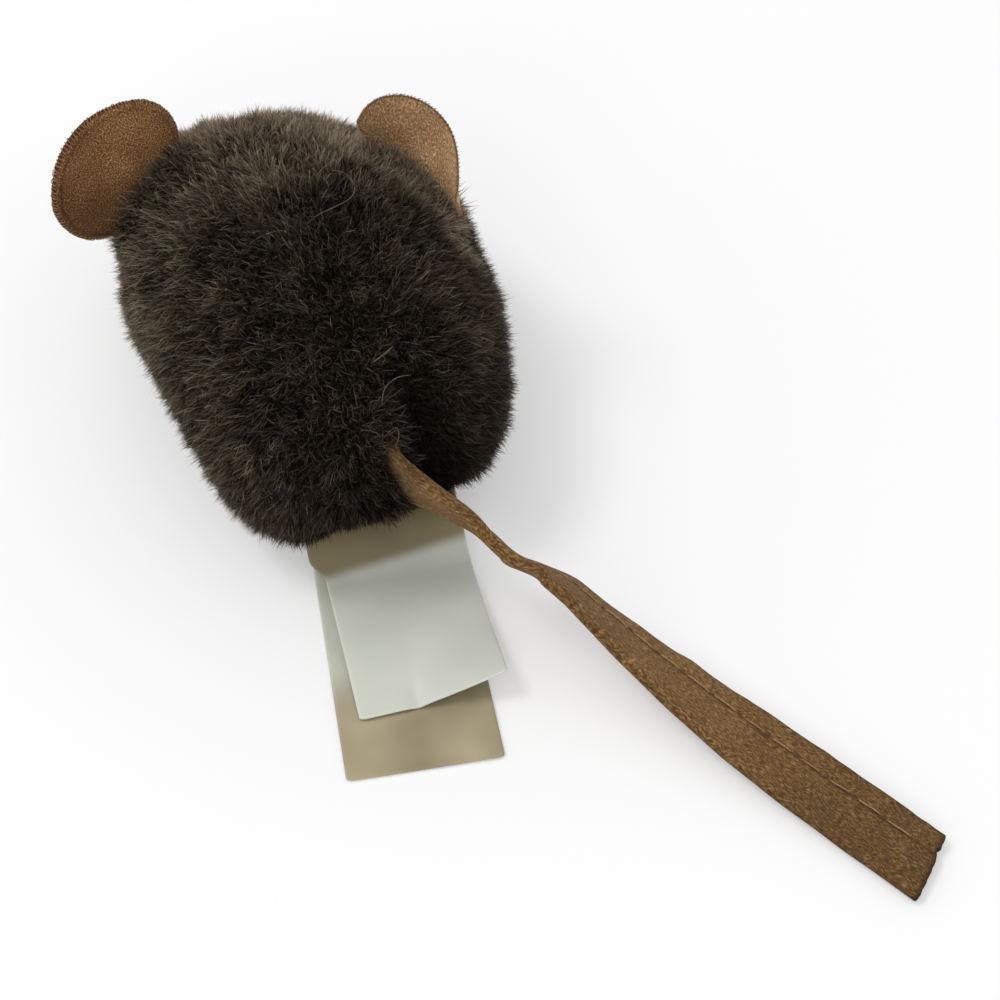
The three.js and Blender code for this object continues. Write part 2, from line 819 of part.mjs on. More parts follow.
addMesh("module_case_base", caseBase(), materials.case(), module);
addMesh("module_case_lid", caseLid(), materials.case(), module);
addMesh("circuit_board", circuitBoard(), materials.board(), module);
const sounderBottom = caseWall + sounderSeatHeight + clearance;
const sounder = disc(sounderRadius, sounderBottom, sounderBottom + sounderThickness);
addMesh("sounder_disc", solidOf(sounder), materials.brass(), module);
const chipTop = boardBottom - clearance;
const chip = disc(chipRadius, chipTop - chipHeight, chipTop, smallSides);
addMesh("sound_chip", solidOf(chip), materials.resin(), module);
for (let i = 0; i < cellCount; i += 1) {
  const cell = moved(buttonCell(), ...around(cellCount, cellCircle, i), 0);
  addMesh(`button_cell_${i + 1}`, cell, materials.steel(), module);
}
const contact = disc(contactRadius, contactBottom, contactBottom + contactThickness);
addMesh("cell_contact_plate", solidOf(contact), materials.steel(), module);
addMesh("foam_pad", solidOf(disc(contactRadius, foamBottom, foamTop)), materials.foam(), module);
addMesh(
  "shake_switch_spring",
  moved(switchSpring(), 0, -switchCircle, cellBottom),
  materials.steel(),
  module,
);
const post = disc(switchPostRadius, 0, switchHeight, smallSides);
addMesh("shake_switch_post", moved(post, 0, -switchCircle, cellBottom), materials.brass(), module);
for (const side of [-1, 1]) {
  const screw = moved(lidScrew(), side * bossCircle, 0, 0);
  addMesh(`lid_screw_${side < 0 ? "left" : "right"}`, screw, materials.steel(), module);
}

export default mouse;
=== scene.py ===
import math
from functools import partial

import bmesh
import bpy
import numpy as np
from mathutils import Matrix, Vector


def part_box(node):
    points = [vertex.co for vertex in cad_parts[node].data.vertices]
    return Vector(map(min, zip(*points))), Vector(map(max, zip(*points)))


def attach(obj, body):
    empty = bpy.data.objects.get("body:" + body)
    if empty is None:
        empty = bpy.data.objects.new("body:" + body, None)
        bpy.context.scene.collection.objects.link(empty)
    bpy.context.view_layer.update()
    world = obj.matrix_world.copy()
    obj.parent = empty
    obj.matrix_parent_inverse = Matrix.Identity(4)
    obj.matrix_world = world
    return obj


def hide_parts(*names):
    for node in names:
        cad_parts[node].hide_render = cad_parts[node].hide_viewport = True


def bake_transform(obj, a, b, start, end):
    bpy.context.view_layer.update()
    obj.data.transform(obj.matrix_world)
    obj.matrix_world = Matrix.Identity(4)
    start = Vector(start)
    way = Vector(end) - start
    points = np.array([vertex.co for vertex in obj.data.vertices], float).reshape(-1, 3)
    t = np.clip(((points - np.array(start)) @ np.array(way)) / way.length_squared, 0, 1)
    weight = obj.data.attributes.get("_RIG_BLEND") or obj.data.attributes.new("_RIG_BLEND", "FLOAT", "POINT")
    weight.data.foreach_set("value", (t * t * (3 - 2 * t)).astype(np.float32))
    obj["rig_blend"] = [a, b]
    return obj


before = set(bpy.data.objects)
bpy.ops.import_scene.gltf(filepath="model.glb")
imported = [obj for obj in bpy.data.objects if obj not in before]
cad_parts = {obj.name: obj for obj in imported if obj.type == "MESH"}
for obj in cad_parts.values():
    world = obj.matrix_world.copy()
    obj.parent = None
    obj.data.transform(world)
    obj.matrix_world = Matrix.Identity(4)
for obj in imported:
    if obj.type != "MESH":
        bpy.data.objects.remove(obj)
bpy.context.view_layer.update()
mm = 0.001
up = np.array([0.0, 0.0, 1.0])

# Camera and light: where the photograph was taken from, in degrees and millimetres
view = {
    "azimuth": -22,
    "elevation": 55,
    "distance": 380,
    "target": (17.7, -31.4, 3.5),
    "lens": 83.4,
    "sensor": 36,
    "floorSize": 6000,
    "floorShade": "#fafafa",
    "worldShade": "#ffffff",
    "worldStrength": 0.79,
    "floorWhite": 0.3,
}
# Lamps: place and aim in millimetres, size in millimetres, power in watts
lamps = {
    "keyLamp": {"place": (-560, 280, 1250), "size": 420, "power": 5.0},
    "fillLamp": {"place": (-700, -900, 900), "size": 600, "power": 1.6},
}


def placed(name, data):
    made = bpy.data.objects.new(name, data)
    bpy.context.scene.collection.objects.link(made)
    return made


def placeStage():
    turn, rise = math.radians(view["azimuth"]), math.radians(view["elevation"])
    back = Vector((math.sin(turn) * math.cos(rise), -math.cos(turn) * math.cos(rise), math.sin(rise)))
    target = Vector(view["target"]) * mm
    data = bpy.data.cameras.new("camera")
    data.lens, data.sensor_width, data.clip_start = view["lens"], view["sensor"], 0.01
    camera = placed("camera", data)
    camera.location = target + back * view["distance"] * mm
    camera.rotation_euler = back.to_track_quat("Z", "Y").to_euler()
    bpy.context.scene.camera = camera
    for name, lamp in lamps.items():
        data = bpy.data.lights.new(name, "AREA")
        data.size, data.energy = lamp["size"] * mm, lamp["power"]
        light = placed(name, data)
        light.location = Vector(lamp["place"]) * mm
        light.rotation_euler = (light.location - target).to_track_quat("Z", "Y").to_euler()


def addNode(tree, kind, inputs=None, stops=(), out=0, **settings):
    # One node with its settings; each input takes a value or the socket that feeds it. It gives the output that
    # out names, or all of them where out is None
    node = tree.nodes.new(kind)
    for name, value in settings.items():
        setattr(node, name, value)
    for key, value in (inputs or {}).items():
        if isinstance(value, bpy.types.NodeSocket):
            tree.links.new(value, node.inputs[key])
        else:
            node.inputs[key].default_value = value
    for i, (place, code) in enumerate(stops):
        elements = node.color_ramp.elements
        if i == 0:
            elements.remove(elements[1])
        element = elements[0] if i == 0 else elements.new(place)
        element.position, element.color = place, toLinear(code)
    return node.outputs if out is None else node.outputs[out]


def toLinear(code):
    # An sRGB hex value as the linear colour that a shader takes
    parts = [int(code[i : i + 2], 16) / 255 for i in (1, 3, 5)]
    return [p / 12.92 if p <= 0.04045 else ((p + 0.055) / 1.055) ** 2.4 for p in parts] + [1]


def newMaterial(name, constants):
    # Constants go on the shader's own sockets; the second value returned adds a node to the material
    material = bpy.data.materials.new(name)
    material.use_nodes = True
    shader = material.node_tree.nodes["Principled BSDF"]
    for key, value in constants.items():
        shader.inputs[key].default_value = toLinear(value) if isinstance(value, str) else value
    return material, partial(addNode, material.node_tree), shader


def dress(shader, colour, relief, strength, depth):
    # Gives the shader its colour and its relief, whose full height is a depth in millimetres
    tree = shader.id_data
    raised = addNode(tree, "ShaderNodeBump", {"Height": relief, "Strength": strength, "Distance": depth * mm})
    tree.links.new(colour, shader.inputs["Base Color"])
    tree.links.new(raised, shader.inputs["Normal"])


def perMm(size):
    # A texture's scale for a pattern that repeats every so many millimetres
    return 1 / (size * mm)


# Millimetres of cloth to one unit of the map "cloth"
clothUnit = 20


# Body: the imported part's sizes in millimetres; each row of shares runs from rump to nose
body = {
    "width": 64,
    "length": 83,
    "back": 46,
    "girth": 19,
    "rump": 38,
    "snout": 10,
    "snoutStart": 0.82,
    "drift": -8,
    "floorCut": 0.5,
    "bellySeam": 6.5,
    "seamOffset": 3,
    "backRoundness": 2.15,
    "bellyRoundness": 2.5,
    "widthShares": [1.26, 1.15, 0.92, 0.905, 0.96, 0.98, 0.64],
    "backShares": [1.16, 1.04, 1.0, 1.0, 0.97, 1.15, 0.8],
    "bellyShares": [1.45, 1.27, 1.12, 1.0, 1.08, 0.98, 0.6],
    "girthShares": [0.98, 1.0, 1.0, 1.0, 0.96, 0.86, 0.7],
    "driftShares": [0.5, 0.32, 0.13, 0, 0.3, 0.6, 0.35],
    "seamShares": [0.75, 0.8, 1.0, 1.3, 1.0, 0.5, 0],
}


def follow(shares, t):
    # A smooth curve through evenly spaced shares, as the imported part's rows run
    shares = np.asarray(shares, float)
    last = len(shares) - 1
    place = np.clip(np.asarray(t, float), 0, 1) * last
    i = np.minimum(place.astype(int), last - 1)
    w = place - i
    before, here = shares[np.maximum(i - 1, 0)], shares[i]
    after, beyond = shares[i + 1], shares[np.minimum(i + 2, last)]
    slopeHere, slopeAfter = (after - before) / 2, (beyond - here) / 2
    cubic = 2 * here - 2 * after + slopeHere + slopeAfter
    square = -3 * here + 3 * after - 2 * slopeHere - slopeAfter
    return ((cubic * w + square) * w + slopeHere) * w + here


def smooth(low, high, x):
    share = np.clip((np.asarray(x, float) - low) / (high - low), 0, 1)
    return share * share * (3 - 2 * share)


def unit(v):
    v = np.asarray(v, float)
    return v / np.linalg.norm(v, axis=-1, keepdims=True)


def bodyPoint(t, angle, inset=0.0):
    # A point of the body, the angle running round it from its right side over the back
    t, angle = np.broadcast_arrays(np.asarray(t, float), np.asarray(angle, float))
    swell = np.sin(np.pi * t)
    along = (1 - np.cos(np.pi * t)) / 2
    side, rise = np.cos(angle), np.sin(angle)
    power = 2 / np.where(rise > 0, body["backRoundness"], body["bellyRoundness"])
    halfWidth = (body["width"] / 2 - inset) * swell * follow(body["widthShares"], t)
    above = (body["back"] - body["girth"] - inset) * follow(body["backShares"], t)
    below = (body["girth"] + body["floorCut"] - inset) * follow(body["bellyShares"], t)
    reach = swell * np.where(rise > 0, above, below)
    snout = np.maximum(0, (t - body["snoutStart"]) / (1 - body["snoutStart"])) ** 1.5
    x = body["drift"] * follow(body["driftShares"], t) + halfWidth * np.sign(side) * np.abs(side) ** power
    y = along * (body["length"] - 2 * inset) + inset - body["rump"] + (body["snout"] - inset) * snout
    z = body["girth"] * follow(body["girthShares"], t) + reach * np.sign(rise) * np.abs(rise) ** power
    return np.stack([x, y, z], -1)


def bodyNormal(t, angle):
    small = 0.01
    along = bodyPoint(t + small, angle) - bodyPoint(t - small, angle)
    around = bodyPoint(t, angle + small) - bodyPoint(t, angle - small)
    return unit(np.cross(along, around))


def backSeam(t):
    return body["drift"] * follow(body["driftShares"], t) + body["seamOffset"] * follow(body["seamShares"], t)


# Mesh tools; points are in millimetres
def newMesh(name, points, faces, material=None):
    mesh = bpy.data.meshes.new(name)
    mesh.from_pydata((np.asarray(points, float) * mm).tolist(), [], faces)
    mesh.shade_smooth()
    if material:
        mesh.materials.append(material)
    return placed(name, mesh)


def gridFaces(rows, columns, ring=False):
    corners = ((0, 0), (0, 1), (1, 1), (1, 0))
    return [
        tuple((r + down) * columns + (c + right) % columns for down, right in corners)
        for r in range(rows - 1)
        for c in range(columns if ring else columns - 1)
    ]


def ballFaces(rings, sides):
    # Rings of points closed at both ends; the two poles come after the rings
    pole, last = rings * sides, (rings - 1) * sides
    faces = gridFaces(rings, sides, ring=True) + [(pole, (c + 1) % sides, c) for c in range(sides)]
    return faces + [(pole + 1, last + c, last + (c + 1) % sides) for c in range(sides)]


def setAttribute(made, name, values):
    values = np.asarray(values, np.float32)
    kind = "FLOAT_VECTOR" if values.ndim == 2 else "FLOAT"
    layer = made.data.attributes.new(name, kind, "POINT")
    layer.data.foreach_set("vector" if values.ndim == 2 else "value", values.ravel())


def rowsOf(items, field):
    flat = np.empty(len(items) * 3)
    items.foreach_get(field, flat)
    return flat.reshape(-1, 3)


def pointsOf(made):
    return rowsOf(made.data.vertices, "co") / mm


def applied(made, name=None):
    # The evaluated object as a plain mesh, in place of its modifiers
    graph = bpy.context.evaluated_depsgraph_get()
    mesh = bpy.data.meshes.new_from_object(made.evaluated_get(graph))
    made.modifiers.clear()
    old, made.data = made.data, mesh
    bpy.data.meshes.remove(old)
    if name:
        made.name = name
    made.data.name = made.name
    return made


def refined(made, name, boundary="ALL"):
    # One round of smooth subdivision
    finer = made.modifiers.new("finer", "SUBSURF")
    finer.levels = finer.render_levels = 1
    finer.boundary_smooth = boundary
    return applied(made, name)


def sheetMesh(name, grid, thickness, material):
    # A closed sheet of cloth over a grid of points; thickness may vary over the grid
    grid = np.asarray(grid, float)
    rows, columns = grid.shape[:2]
    normal = unit(np.cross(np.gradient(grid, axis=1), np.gradient(grid, axis=0)))
    half = np.broadcast_to(np.asarray(thickness, float), (rows, columns))[..., None] / 2
    count = rows * columns
    faces = gridFaces(rows, columns)
    rim = [(0, c) for c in range(columns)] + [(r, columns - 1) for r in range(1, rows)]
    rim += [(rows - 1, c) for c in range(columns - 2, -1, -1)] + [(r, 0) for r in range(rows - 2, 0, -1)]
    rim = [r * columns + c for r, c in rim]
    faces += [tuple(count + i for i in reversed(face)) for face in faces]
    faces += [(b, a, count + a, count + b) for a, b in zip(rim, rim[1:] + rim[:1])]
    sides = [(grid + normal * half * way).reshape(-1, 3) for way in (1, -1)]
    return newMesh(name, np.concatenate(sides), faces, material)


def onBody(made):
    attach(made, "body")


def bends(made, bodies, root, ahead, reach):
    # The cloth bends over its first few millimetres where it leaves the body that carries it
    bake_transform(made, *bodies, start=tuple(root * mm), end=tuple((root + ahead * reach) * mm))


def layCloth(made, across, along):
    # The map of a sheet's own cloth: where each point of its grid lies in the flat piece, in millimetres
    across, along = np.broadcast_arrays(across, along)
    places = np.tile(np.stack([across, along], -1).reshape(-1, 2) / clothUnit, (2, 1))
    corners = np.array([loop.vertex_index for loop in made.data.loops])
    made.data.uv_layers.new(name="cloth").uv.foreach_set("vector", places[corners].astype(np.float32).ravel())


# Geometry Nodes tools
def newTree(name, sockets):
    # A tree whose inputs are a geometry and the named sockets; with it come what adds its nodes and its given values
    tree = bpy.data.node_groups.new(name, "GeometryNodeTree")
    for way in ("OUTPUT", "INPUT"):
        tree.interface.new_socket("Geometry", in_out=way, socket_type="NodeSocketGeometry")
    for kind, labels in sockets.items():
        for label in labels:
            tree.interface.new_socket(label, in_out="INPUT", socket_type="NodeSocket" + kind)
    return tree, partial(addNode, tree), addNode(tree, "NodeGroupInput", out=None)


def runTree(made, tree, values):
    # Sets the tree's inputs by their identifiers and turns the result into a plain mesh
    modifier = made.modifiers.new(tree.name, "NODES")
    modifier.node_group = tree
    for item in tree.interface.items_tree:
        if item.in_out == "INPUT" and item.name in values:
            modifier[item.identifier] = values[item.name]
    return applied(made)


# Materials
def suedeCloth(name, shades, spacing, stretch, matted):
    # Brushed microfibre suede: matt, with short matted fibres that swirl, pale on their ridges and dark between them;
    # the last two shades are those of the grooves and of "edge", which holds darker cut edges and painted light and
    # shade
    gloss = {"Roughness": 0.9, "Specular IOR Level": 0.1, "Sheen Weight": 0.04, "Sheen Roughness": 0.5}
    material, add, shader = newMaterial(name, gloss)
    place = add("ShaderNodeUVMap", uv_map="cloth")
    bent = add("ShaderNodeTexNoise", {"Vector": place, "Scale": clothUnit / 3.6, "Detail": 2.0}, out="Color")
    swirl = add("ShaderNodeVectorMath", {0: bent, 1: (0.1, 0.1, 0), 2: place}, operation="MULTIPLY_ADD")
    laid = add("ShaderNodeVectorMath", {0: swirl, 1: (1, stretch, 1)}, operation="MULTIPLY")
    fine = {"Vector": laid, "Scale": clothUnit / spacing, "Detail": 2.0, "Roughness": 0.6}
    fine = add("ShaderNodeTexNoise", fine, out="Fac")
    deep = add("ShaderNodeTexNoise", {"Vector": laid, "Scale": clothUnit / spacing / 1.7, "Detail": 1.0}, out="Fac")
    patch = add("ShaderNodeTexNoise", {"Vector": place, "Scale": clothUnit / 6, "Detail": 3.0}, out="Fac")
    ridge = add("ShaderNodeMapRange", {"Value": fine, "From Min": 0.36, "From Max": 0.66})
    tone = add("ShaderNodeMath", {0: patch, 1: 0.6, 2: ridge}, operation="MULTIPLY_ADD")
    tone = add("ShaderNodeMapRange", {"Value": tone, "From Min": 0.3, "From Max": 1.3})
    cloth = add("ShaderNodeValToRGB", {"Fac": tone}, stops=zip((0.0, 0.5, 1.0), shades))
    groove = add("ShaderNodeMath", {0: deep, 1: 0.5}, operation="SUBTRACT")
    groove = add("ShaderNodeMath", {0: groove}, operation="ABSOLUTE")
    groove = {"Value": groove, "From Min": 0.005, "From Max": 0.045, "To Min": matted, "To Max": 0.0}
    groove = add("ShaderNodeMapRange", groove)
    edgeAndPaintedShade = add("ShaderNodeAttribute", attribute_name="edge", out="Fac")
    for share, shade in ((groove, shades[3]), (edgeAndPaintedShade, shades[4])):
        cloth = add("ShaderNodeMix", {0: share, 6: cloth, 7: toLinear(shade)}, data_type="RGBA", out=2)
    relief = add("ShaderNodeMath", {0: ridge, 1: groove}, operation="SUBTRACT")
    dress(shader, cloth, relief, 0.7, 0.16)
    return material


def satinTape(name, shades, threads):
    # Woven polyester satin: fine smooth warp, a soft sheen and a faint rib of threads across; it is clean, and darker
    # and yellower where "shade" says: a stain, and painted shade where the upper leaf comes out of the pile
    gloss = {"Roughness": 0.42, "Specular IOR Level": 0.45, "Sheen Weight": 0.25, "Sheen Roughness": 0.35}
    material, add, shader = newMaterial(name, gloss)
    weave = add("ShaderNodeUVMap", uv_map="cloth")
    cloudy = {"Vector": weave, "Scale": clothUnit / 16, "Detail": 2.0, "Roughness": 0.45}
    cloudy = add("ShaderNodeTexNoise", cloudy, out="Fac")
    clean, stainedAndShaded = (
        add("ShaderNodeValToRGB", {"Fac": cloudy}, stops=zip((0.35, 0.65), pair))
        for pair in (shades[:2], shades[2:])
    )
    aged = add("ShaderNodeAttribute", attribute_name="shade", out="Fac")
    cloth = add("ShaderNodeMix", {0: aged, 6: clean, 7: stainedAndShaded}, data_type="RGBA", out=2)
    ribs = {"Vector": weave, "Scale": threads, "Distortion": 0.4, "Detail": 1.0}
    ribs = add("ShaderNodeTexWave", ribs, wave_type="BANDS", bands_direction="Y", out="Fac")
    dress(shader, cloth, ribs, 0.15, 0.05)
    return material


def mottled(name, shades, size, depth, constants, rough=0.55, places=(0.35, 0.65), strength=0.4):
    # A finish with fine mottling between two shades at a real size in millimetres, and its relief
    material, add, shader = newMaterial(name, constants)
    place = add("ShaderNodeTexCoord", out="Object")
    grain = {"Vector": place, "Scale": perMm(size), "Detail": 3.0, "Roughness": rough}
    grain = add("ShaderNodeTexNoise", grain, out="Fac")
    tone = add("ShaderNodeValToRGB", {"Fac": grain}, stops=zip(places, shades))
    dress(shader, tone, grain, strength, depth)
    return material


def threadMaterial(name, shades, gloss):
    # Spun polyester sewing thread: two twisted plies, a little sheen, dark between the plies
    constants = {"Roughness": gloss, "Specular IOR Level": 0.35, "Sheen Weight": 0.15}
    return mottled(name, shades, 0.35, 0.08, constants, rough=0.6, places=(0.3, 0.7), strength=0.5)


def pileMaterial(name, dark, light):
    # Acrylic plush pile: dark spun fibres with paler tips, near-black towards the root in part as painted shade deep in
    # the pile; the map holds each strand's tone and the way along it
    material, add, shader = newMaterial(name, {"Roughness": 0.7, "Specular IOR Level": 0.05})
    strand = add("ShaderNodeUVMap", uv_map="OFBake")
    strand = add("ShaderNodeSeparateXYZ", {0: strand}, out=None)
    darker, lighter = (
        add("ShaderNodeValToRGB", {"Fac": strand["Y"]}, stops=zip((0.0, 0.45, 0.8, 1.0), ramp))
        for ramp in (dark, light)
    )
    mixed = add("ShaderNodeMix", {0: strand["X"], 6: darker, 7: lighter}, data_type="RGBA", out=2)
    material.node_tree.links.new(mixed, shader.inputs["Base Color"])
    return material


def knitBacking(name, shades):
    # Knitted polyester backing, dyed dark: only seen in the partings of the pile
    material, add, shader = newMaterial(name, {"Roughness": 0.95, "Specular IOR Level": 0.1})
    place = add("ShaderNodeTexCoord", out="Object")
    knit = add("ShaderNodeTexVoronoi", {"Vector": place, "Scale": perMm(0.9)}, out="Distance")
    dyed = add("ShaderNodeValToRGB", {"Fac": knit}, stops=zip((0.0, 0.7), shades))
    dress(shader, dyed, knit, 0.6, 0.3)
    return material


materials = {
    "suede": suedeCloth(
        "brushedSuedeCloth", ("#5f4526", "#7f5f3a", "#a88557", "#412c16", "#2c1d0e"),
        spacing=0.2, stretch=0.22, matted=0.45,
    ),
    "leftEar": suedeCloth(
        "shornSuedeCloth", ("#5d3b1c", "#8f643a", "#dcae7c", "#4b2c14", "#3d220d"),
        spacing=0.24, stretch=0.8, matted=0.12,
    ),
    # One suede in two copies: the right ear's is painted paler, as painted light on the face turned to the lamps
    "rightEar": suedeCloth(
        "shornSuedeClothUpNap", ("#966f46", "#c29768", "#f4d0a6", "#7f5a36", "#3f2c1b"),
        spacing=0.3, stretch=0.4, matted=0.2,
    ),
    # The satin's last two shades are stain and painted shade by the pile; the tape's are its own beige stain
    "satin": satinTape("satinRibbon", ("#c9ccc0", "#d3d5cb", "#7f7252", "#948765"), 24),
    "tape": satinTape("careLabelTape", ("#bfc2b2", "#cbcdbf", "#887e60", "#aea284"), 24),
    "thread": threadMaterial("polyesterThread", ("#7d5f3d", "#ab8759"), 0.6),
    # Thread where it goes through the suede, painted dark as the needle hole's shade
    "knot": threadMaterial("knottedThread", ("#3a2512", "#5f4023"), 0.7),
    "overlock": threadMaterial("overlockThread", ("#553321", "#b08460"), 0.55),
    "noseThread": threadMaterial("embroideryThread", ("#150d0a", "#3a2620"), 0.45),
    "backing": knitBacking("knittedBacking", ("#0d0a08", "#1d1712")),
    "pile": pileMaterial(
        "acrylicPlushPile",
        ("#030201", "#060403", "#0e0a06", "#1b130b"),
        ("#18120d", "#61523f", "#9d8c76", "#e2d3be"),
    ),
    "stray": threadMaterial("loosePileHair", ("#75654e", "#a89a82"), 0.6),
    # Polyester fibre filling: white crimped fibres, matt and cloudy
    "filling": mottled(
        "polyesterFibreFilling", ("#dcd9d0", "#f4f2ec"), 1.6, 0.6,
        {"Roughness": 1.0, "Specular IOR Level": 0.1, "Sheen Weight": 0.4},
    ),
    # Polished ABS eye: black, mirror-smooth
    "gloss": mottled(
        "polishedBlackAbs", ("#040404", "#070606"), 4, 0.002, {"Roughness": 0.07, "Specular IOR Level": 0.4}
    ),
    # Moulded ABS: off-white with the fine texture of the mould
    "case": mottled("mouldedAbs", ("#e4e0d5", "#ebe8de"), 0.3, 0.02, {"Roughness": 0.45, "IOR": 1.53}),
    # Solder mask over glass fibre board: green lacquer with a faint weave
    "board": mottled("solderMaskBoard", ("#27603a", "#31713f"), 0.5, 0.01, {"Roughness": 0.35, "Coat Weight": 0.3}),
    # Cast epoxy blob over a chip: black and slightly uneven
    "resin": mottled("castEpoxy", ("#0d0c0c", "#1a1918"), 1.2, 0.08, {"Roughness": 0.32}),
    # Foamed polyurethane: dark grey open cells
    "foam": mottled(
        "polyurethaneFoam", ("#242426", "#46464a"), 0.45, 0.25, {"Roughness": 1.0, "Specular IOR Level": 0.15}
    ),
    # Rolled brass: yellow metal with faint lengthwise variation
    "brass": mottled("rolledBrass", ("#c19a4e", "#d6b168"), 1.5, 0.005, {"Roughness": 0.3, "Metallic": 1.0}),
    # Nickel-plated steel: pale bright metal
    "steel": mottled("nickelPlatedSteel", ("#b4b6b8", "#c9cbcc"), 1.0, 0.004, {"Roughness": 0.24, "Metallic": 1.0}),
}

placeStage()
print("camera, lamps and materials are ready")

# Skin: the knitted backing under the pile, in millimetres; the filling presses it out between its seams
skin = {
    "depth": 3.5,
    "snoutDepth": 1.4,
    "rows": 76,
    "columns": 80,
    "rest": 1.0,
    "backing": 1.2,
    "cap": 1.3,
    "simScale": 10,
    "pressure": 140,
    "mass": 0.05,
    "frames": 20,
}


def skinDepth(t):
    return skin["depth"] + (skin["snoutDepth"] - skin["depth"]) * smooth(0.72, 1.0, t)


def skinForm():
    # A closed form whose columns start on the back seam, cut round by the belly seam
    t = np.linspace(0, 1, skin["rows"])[:, None]
    depth = skinDepth(t)
    half = np.maximum((body["width"] / 2 - depth) * np.sin(np.pi * t) * follow(body["widthShares"], t), 0.1)
    offset = np.clip(body["seamOffset"] * follow(body["seamShares"], t) / half, 0, 0.5)
    start = np.arccos(offset ** (body["backRoundness"] / 2))
    angle = start + 2 * np.pi * np.arange(skin["columns"])[None] / skin["columns"]
    points = bodyPoint(t + 0 * angle, angle, depth)
    points[..., 2] = np.maximum(points[..., 2], skin["rest"])
    inner = points[1:-1].reshape(-1, 3)
    poles = [points[:1, 0], points[-1:, 0]]
    made = newMesh("skinForm", np.concatenate([inner, *poles]), ballFaces(skin["rows"] - 2, skin["columns"]))
    seam = np.zeros(len(inner) + 2)
    seam[: len(inner) : skin["columns"]] = 1
    setAttribute(made, "seam", seam)
    form = bmesh.new()
    form.from_mesh(made.data)
    parts = form.verts[:] + form.edges[:] + form.faces[:]
    cut = bmesh.ops.bisect_plane(form, geom=parts, plane_co=(0, 0, body["bellySeam"] * mm), plane_no=(0, 0, 1))
    layer = form.verts.layers.float["seam"]
    for item in form.verts:
        item[layer] = 1 if item[layer] > 0.99 else 0
    for item in cut["geom_cut"]:
        if isinstance(item, bmesh.types.BMVert):
            item[layer] = 1
    bmesh.ops.recalc_face_normals(form, faces=form.faces[:])
    form.to_mesh(made.data)
    form.free()
    return made


def swellSkin(made):
    # Cloth under pressure, pinned at the seams, in a copy large enough for the solver's units
    rest = pointsOf(made)
    seam = np.array([v.value for v in made.data.attributes["seam"].data])
    made.data.vertices.foreach_set("co", (rest * mm * skin["simScale"]).ravel())
    made.data.update()
    group = made.vertex_groups.new(name="seams")
    group.add([int(i) for i in np.flatnonzero(seam > 0.5)], 1.0, "REPLACE")
    group.add([int(i) for i in np.flatnonzero(rest[:, 2] < skin["rest"] + 0.2)], 1.0, "REPLACE")
    cloth = made.modifiers.new("filling pressure", "CLOTH")
    cloth.settings.use_pressure = True
    cloth.settings.uniform_pressure_force = skin["pressure"]
    cloth.settings.mass = skin["mass"]
    cloth.settings.effector_weights.gravity = 0
    cloth.settings.vertex_group_mass = "seams"
    cloth.point_cache.frame_start, cloth.point_cache.frame_end = 1, skin["frames"]
    for step in range(1, skin["frames"] + 1):
        bpy.context.scene.frame_set(step)
    graph = bpy.context.evaluated_depsgraph_get()
    solved = made.evaluated_get(graph)
    shift = rowsOf(solved.data.vertices, "co") / (mm * skin["simScale"]) - rest
    made.modifiers.clear()
    bpy.context.scene.frame_set(1)
    size = np.linalg.norm(shift, axis=1, keepdims=True)
    shift *= np.minimum(1, skin["cap"] / np.maximum(size, 1e-9))
    print(f"cloth: moved {size.mean():.2f} mm on average, {size.max():.2f} mm at most")
    made.data.vertices.foreach_set("co", ((rest + shift) * mm).ravel())
    made.data.update()


skinObject = skinForm()
swellSkin(skinObject)


def cutPanel(source, name, keep, material):
    # One panel of the skin, as an open sheet
    points = pointsOf(source)
    chosen = [tuple(face.vertices) for face in source.data.polygons if keep(*(np.array(face.center) / mm))]
    used = sorted({i for face in chosen for i in face})
    new = {old: i for i, old in enumerate(used)}
    made = newMesh(name, points[used], [tuple(new[i] for i in face) for face in chosen], material)
    return refined(made, name, "PRESERVE_CORNERS")


def stepAt(y):
    # The step from rump to nose at a place along the body
    steps = np.linspace(0, 1, 400)
    return np.interp(y, bodyPoint(steps, 0.0)[:, 1], steps)


def seamAt(y):
    return backSeam(stepAt(y))


def distanceTo(points, start, end):
    # Distance of each point from a straight line between two points
    start, end = np.asarray(start, float), np.asarray(end, float)
    line = end - start
    share = np.clip(((points - start) @ line) / (line @ line), 0, 1)
    return np.linalg.norm(points - start - share[:, None] * line, axis=1)


# Ears, tail, label and face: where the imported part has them, in millimetres and degrees
ears = {
    "diameter": 25,
    "height": 21.5,
    "sink": 1,
    "left": {"top": (0.73, 125.4), "low": (0.704, 144.1), "lean": 27.4, "curl": 0, "bend": -0.04},
    "right": {"top": (0.613, 53), "low": (0.492, 33.6), "lean": 32, "curl": 59, "bend": 0.23},
}
tail = {
    "reach": 100.4,
    "width": 11.4,
    "rootWidth": 10,
    "ply": 0.9,
    "slit": 0.3,
    "heading": 33.5,
    "rootHeight": 26.5,
    "sink": 5.6,
    "along": [0, 0.032, 0.099, 0.157, 0.22, 0.262, 0.31, 0.377, 0.518, 0.688, 0.866, 1],
    "side": [0, 0.011, 0.003, -0.012, -0.019, -0.037, -0.043, -0.042, -0.03, -0.016, -0.002, 0.01],
    "rise": [1, 0.975, 0.888, 0.741, 0.586, 0.471, 0.416, 0.306, 0.179, 0.1, 0.06, 0.046],
    "turns": [104, 89, 72, 62, 57, 54, 49, 44, 28, 7, -2, 0],
}
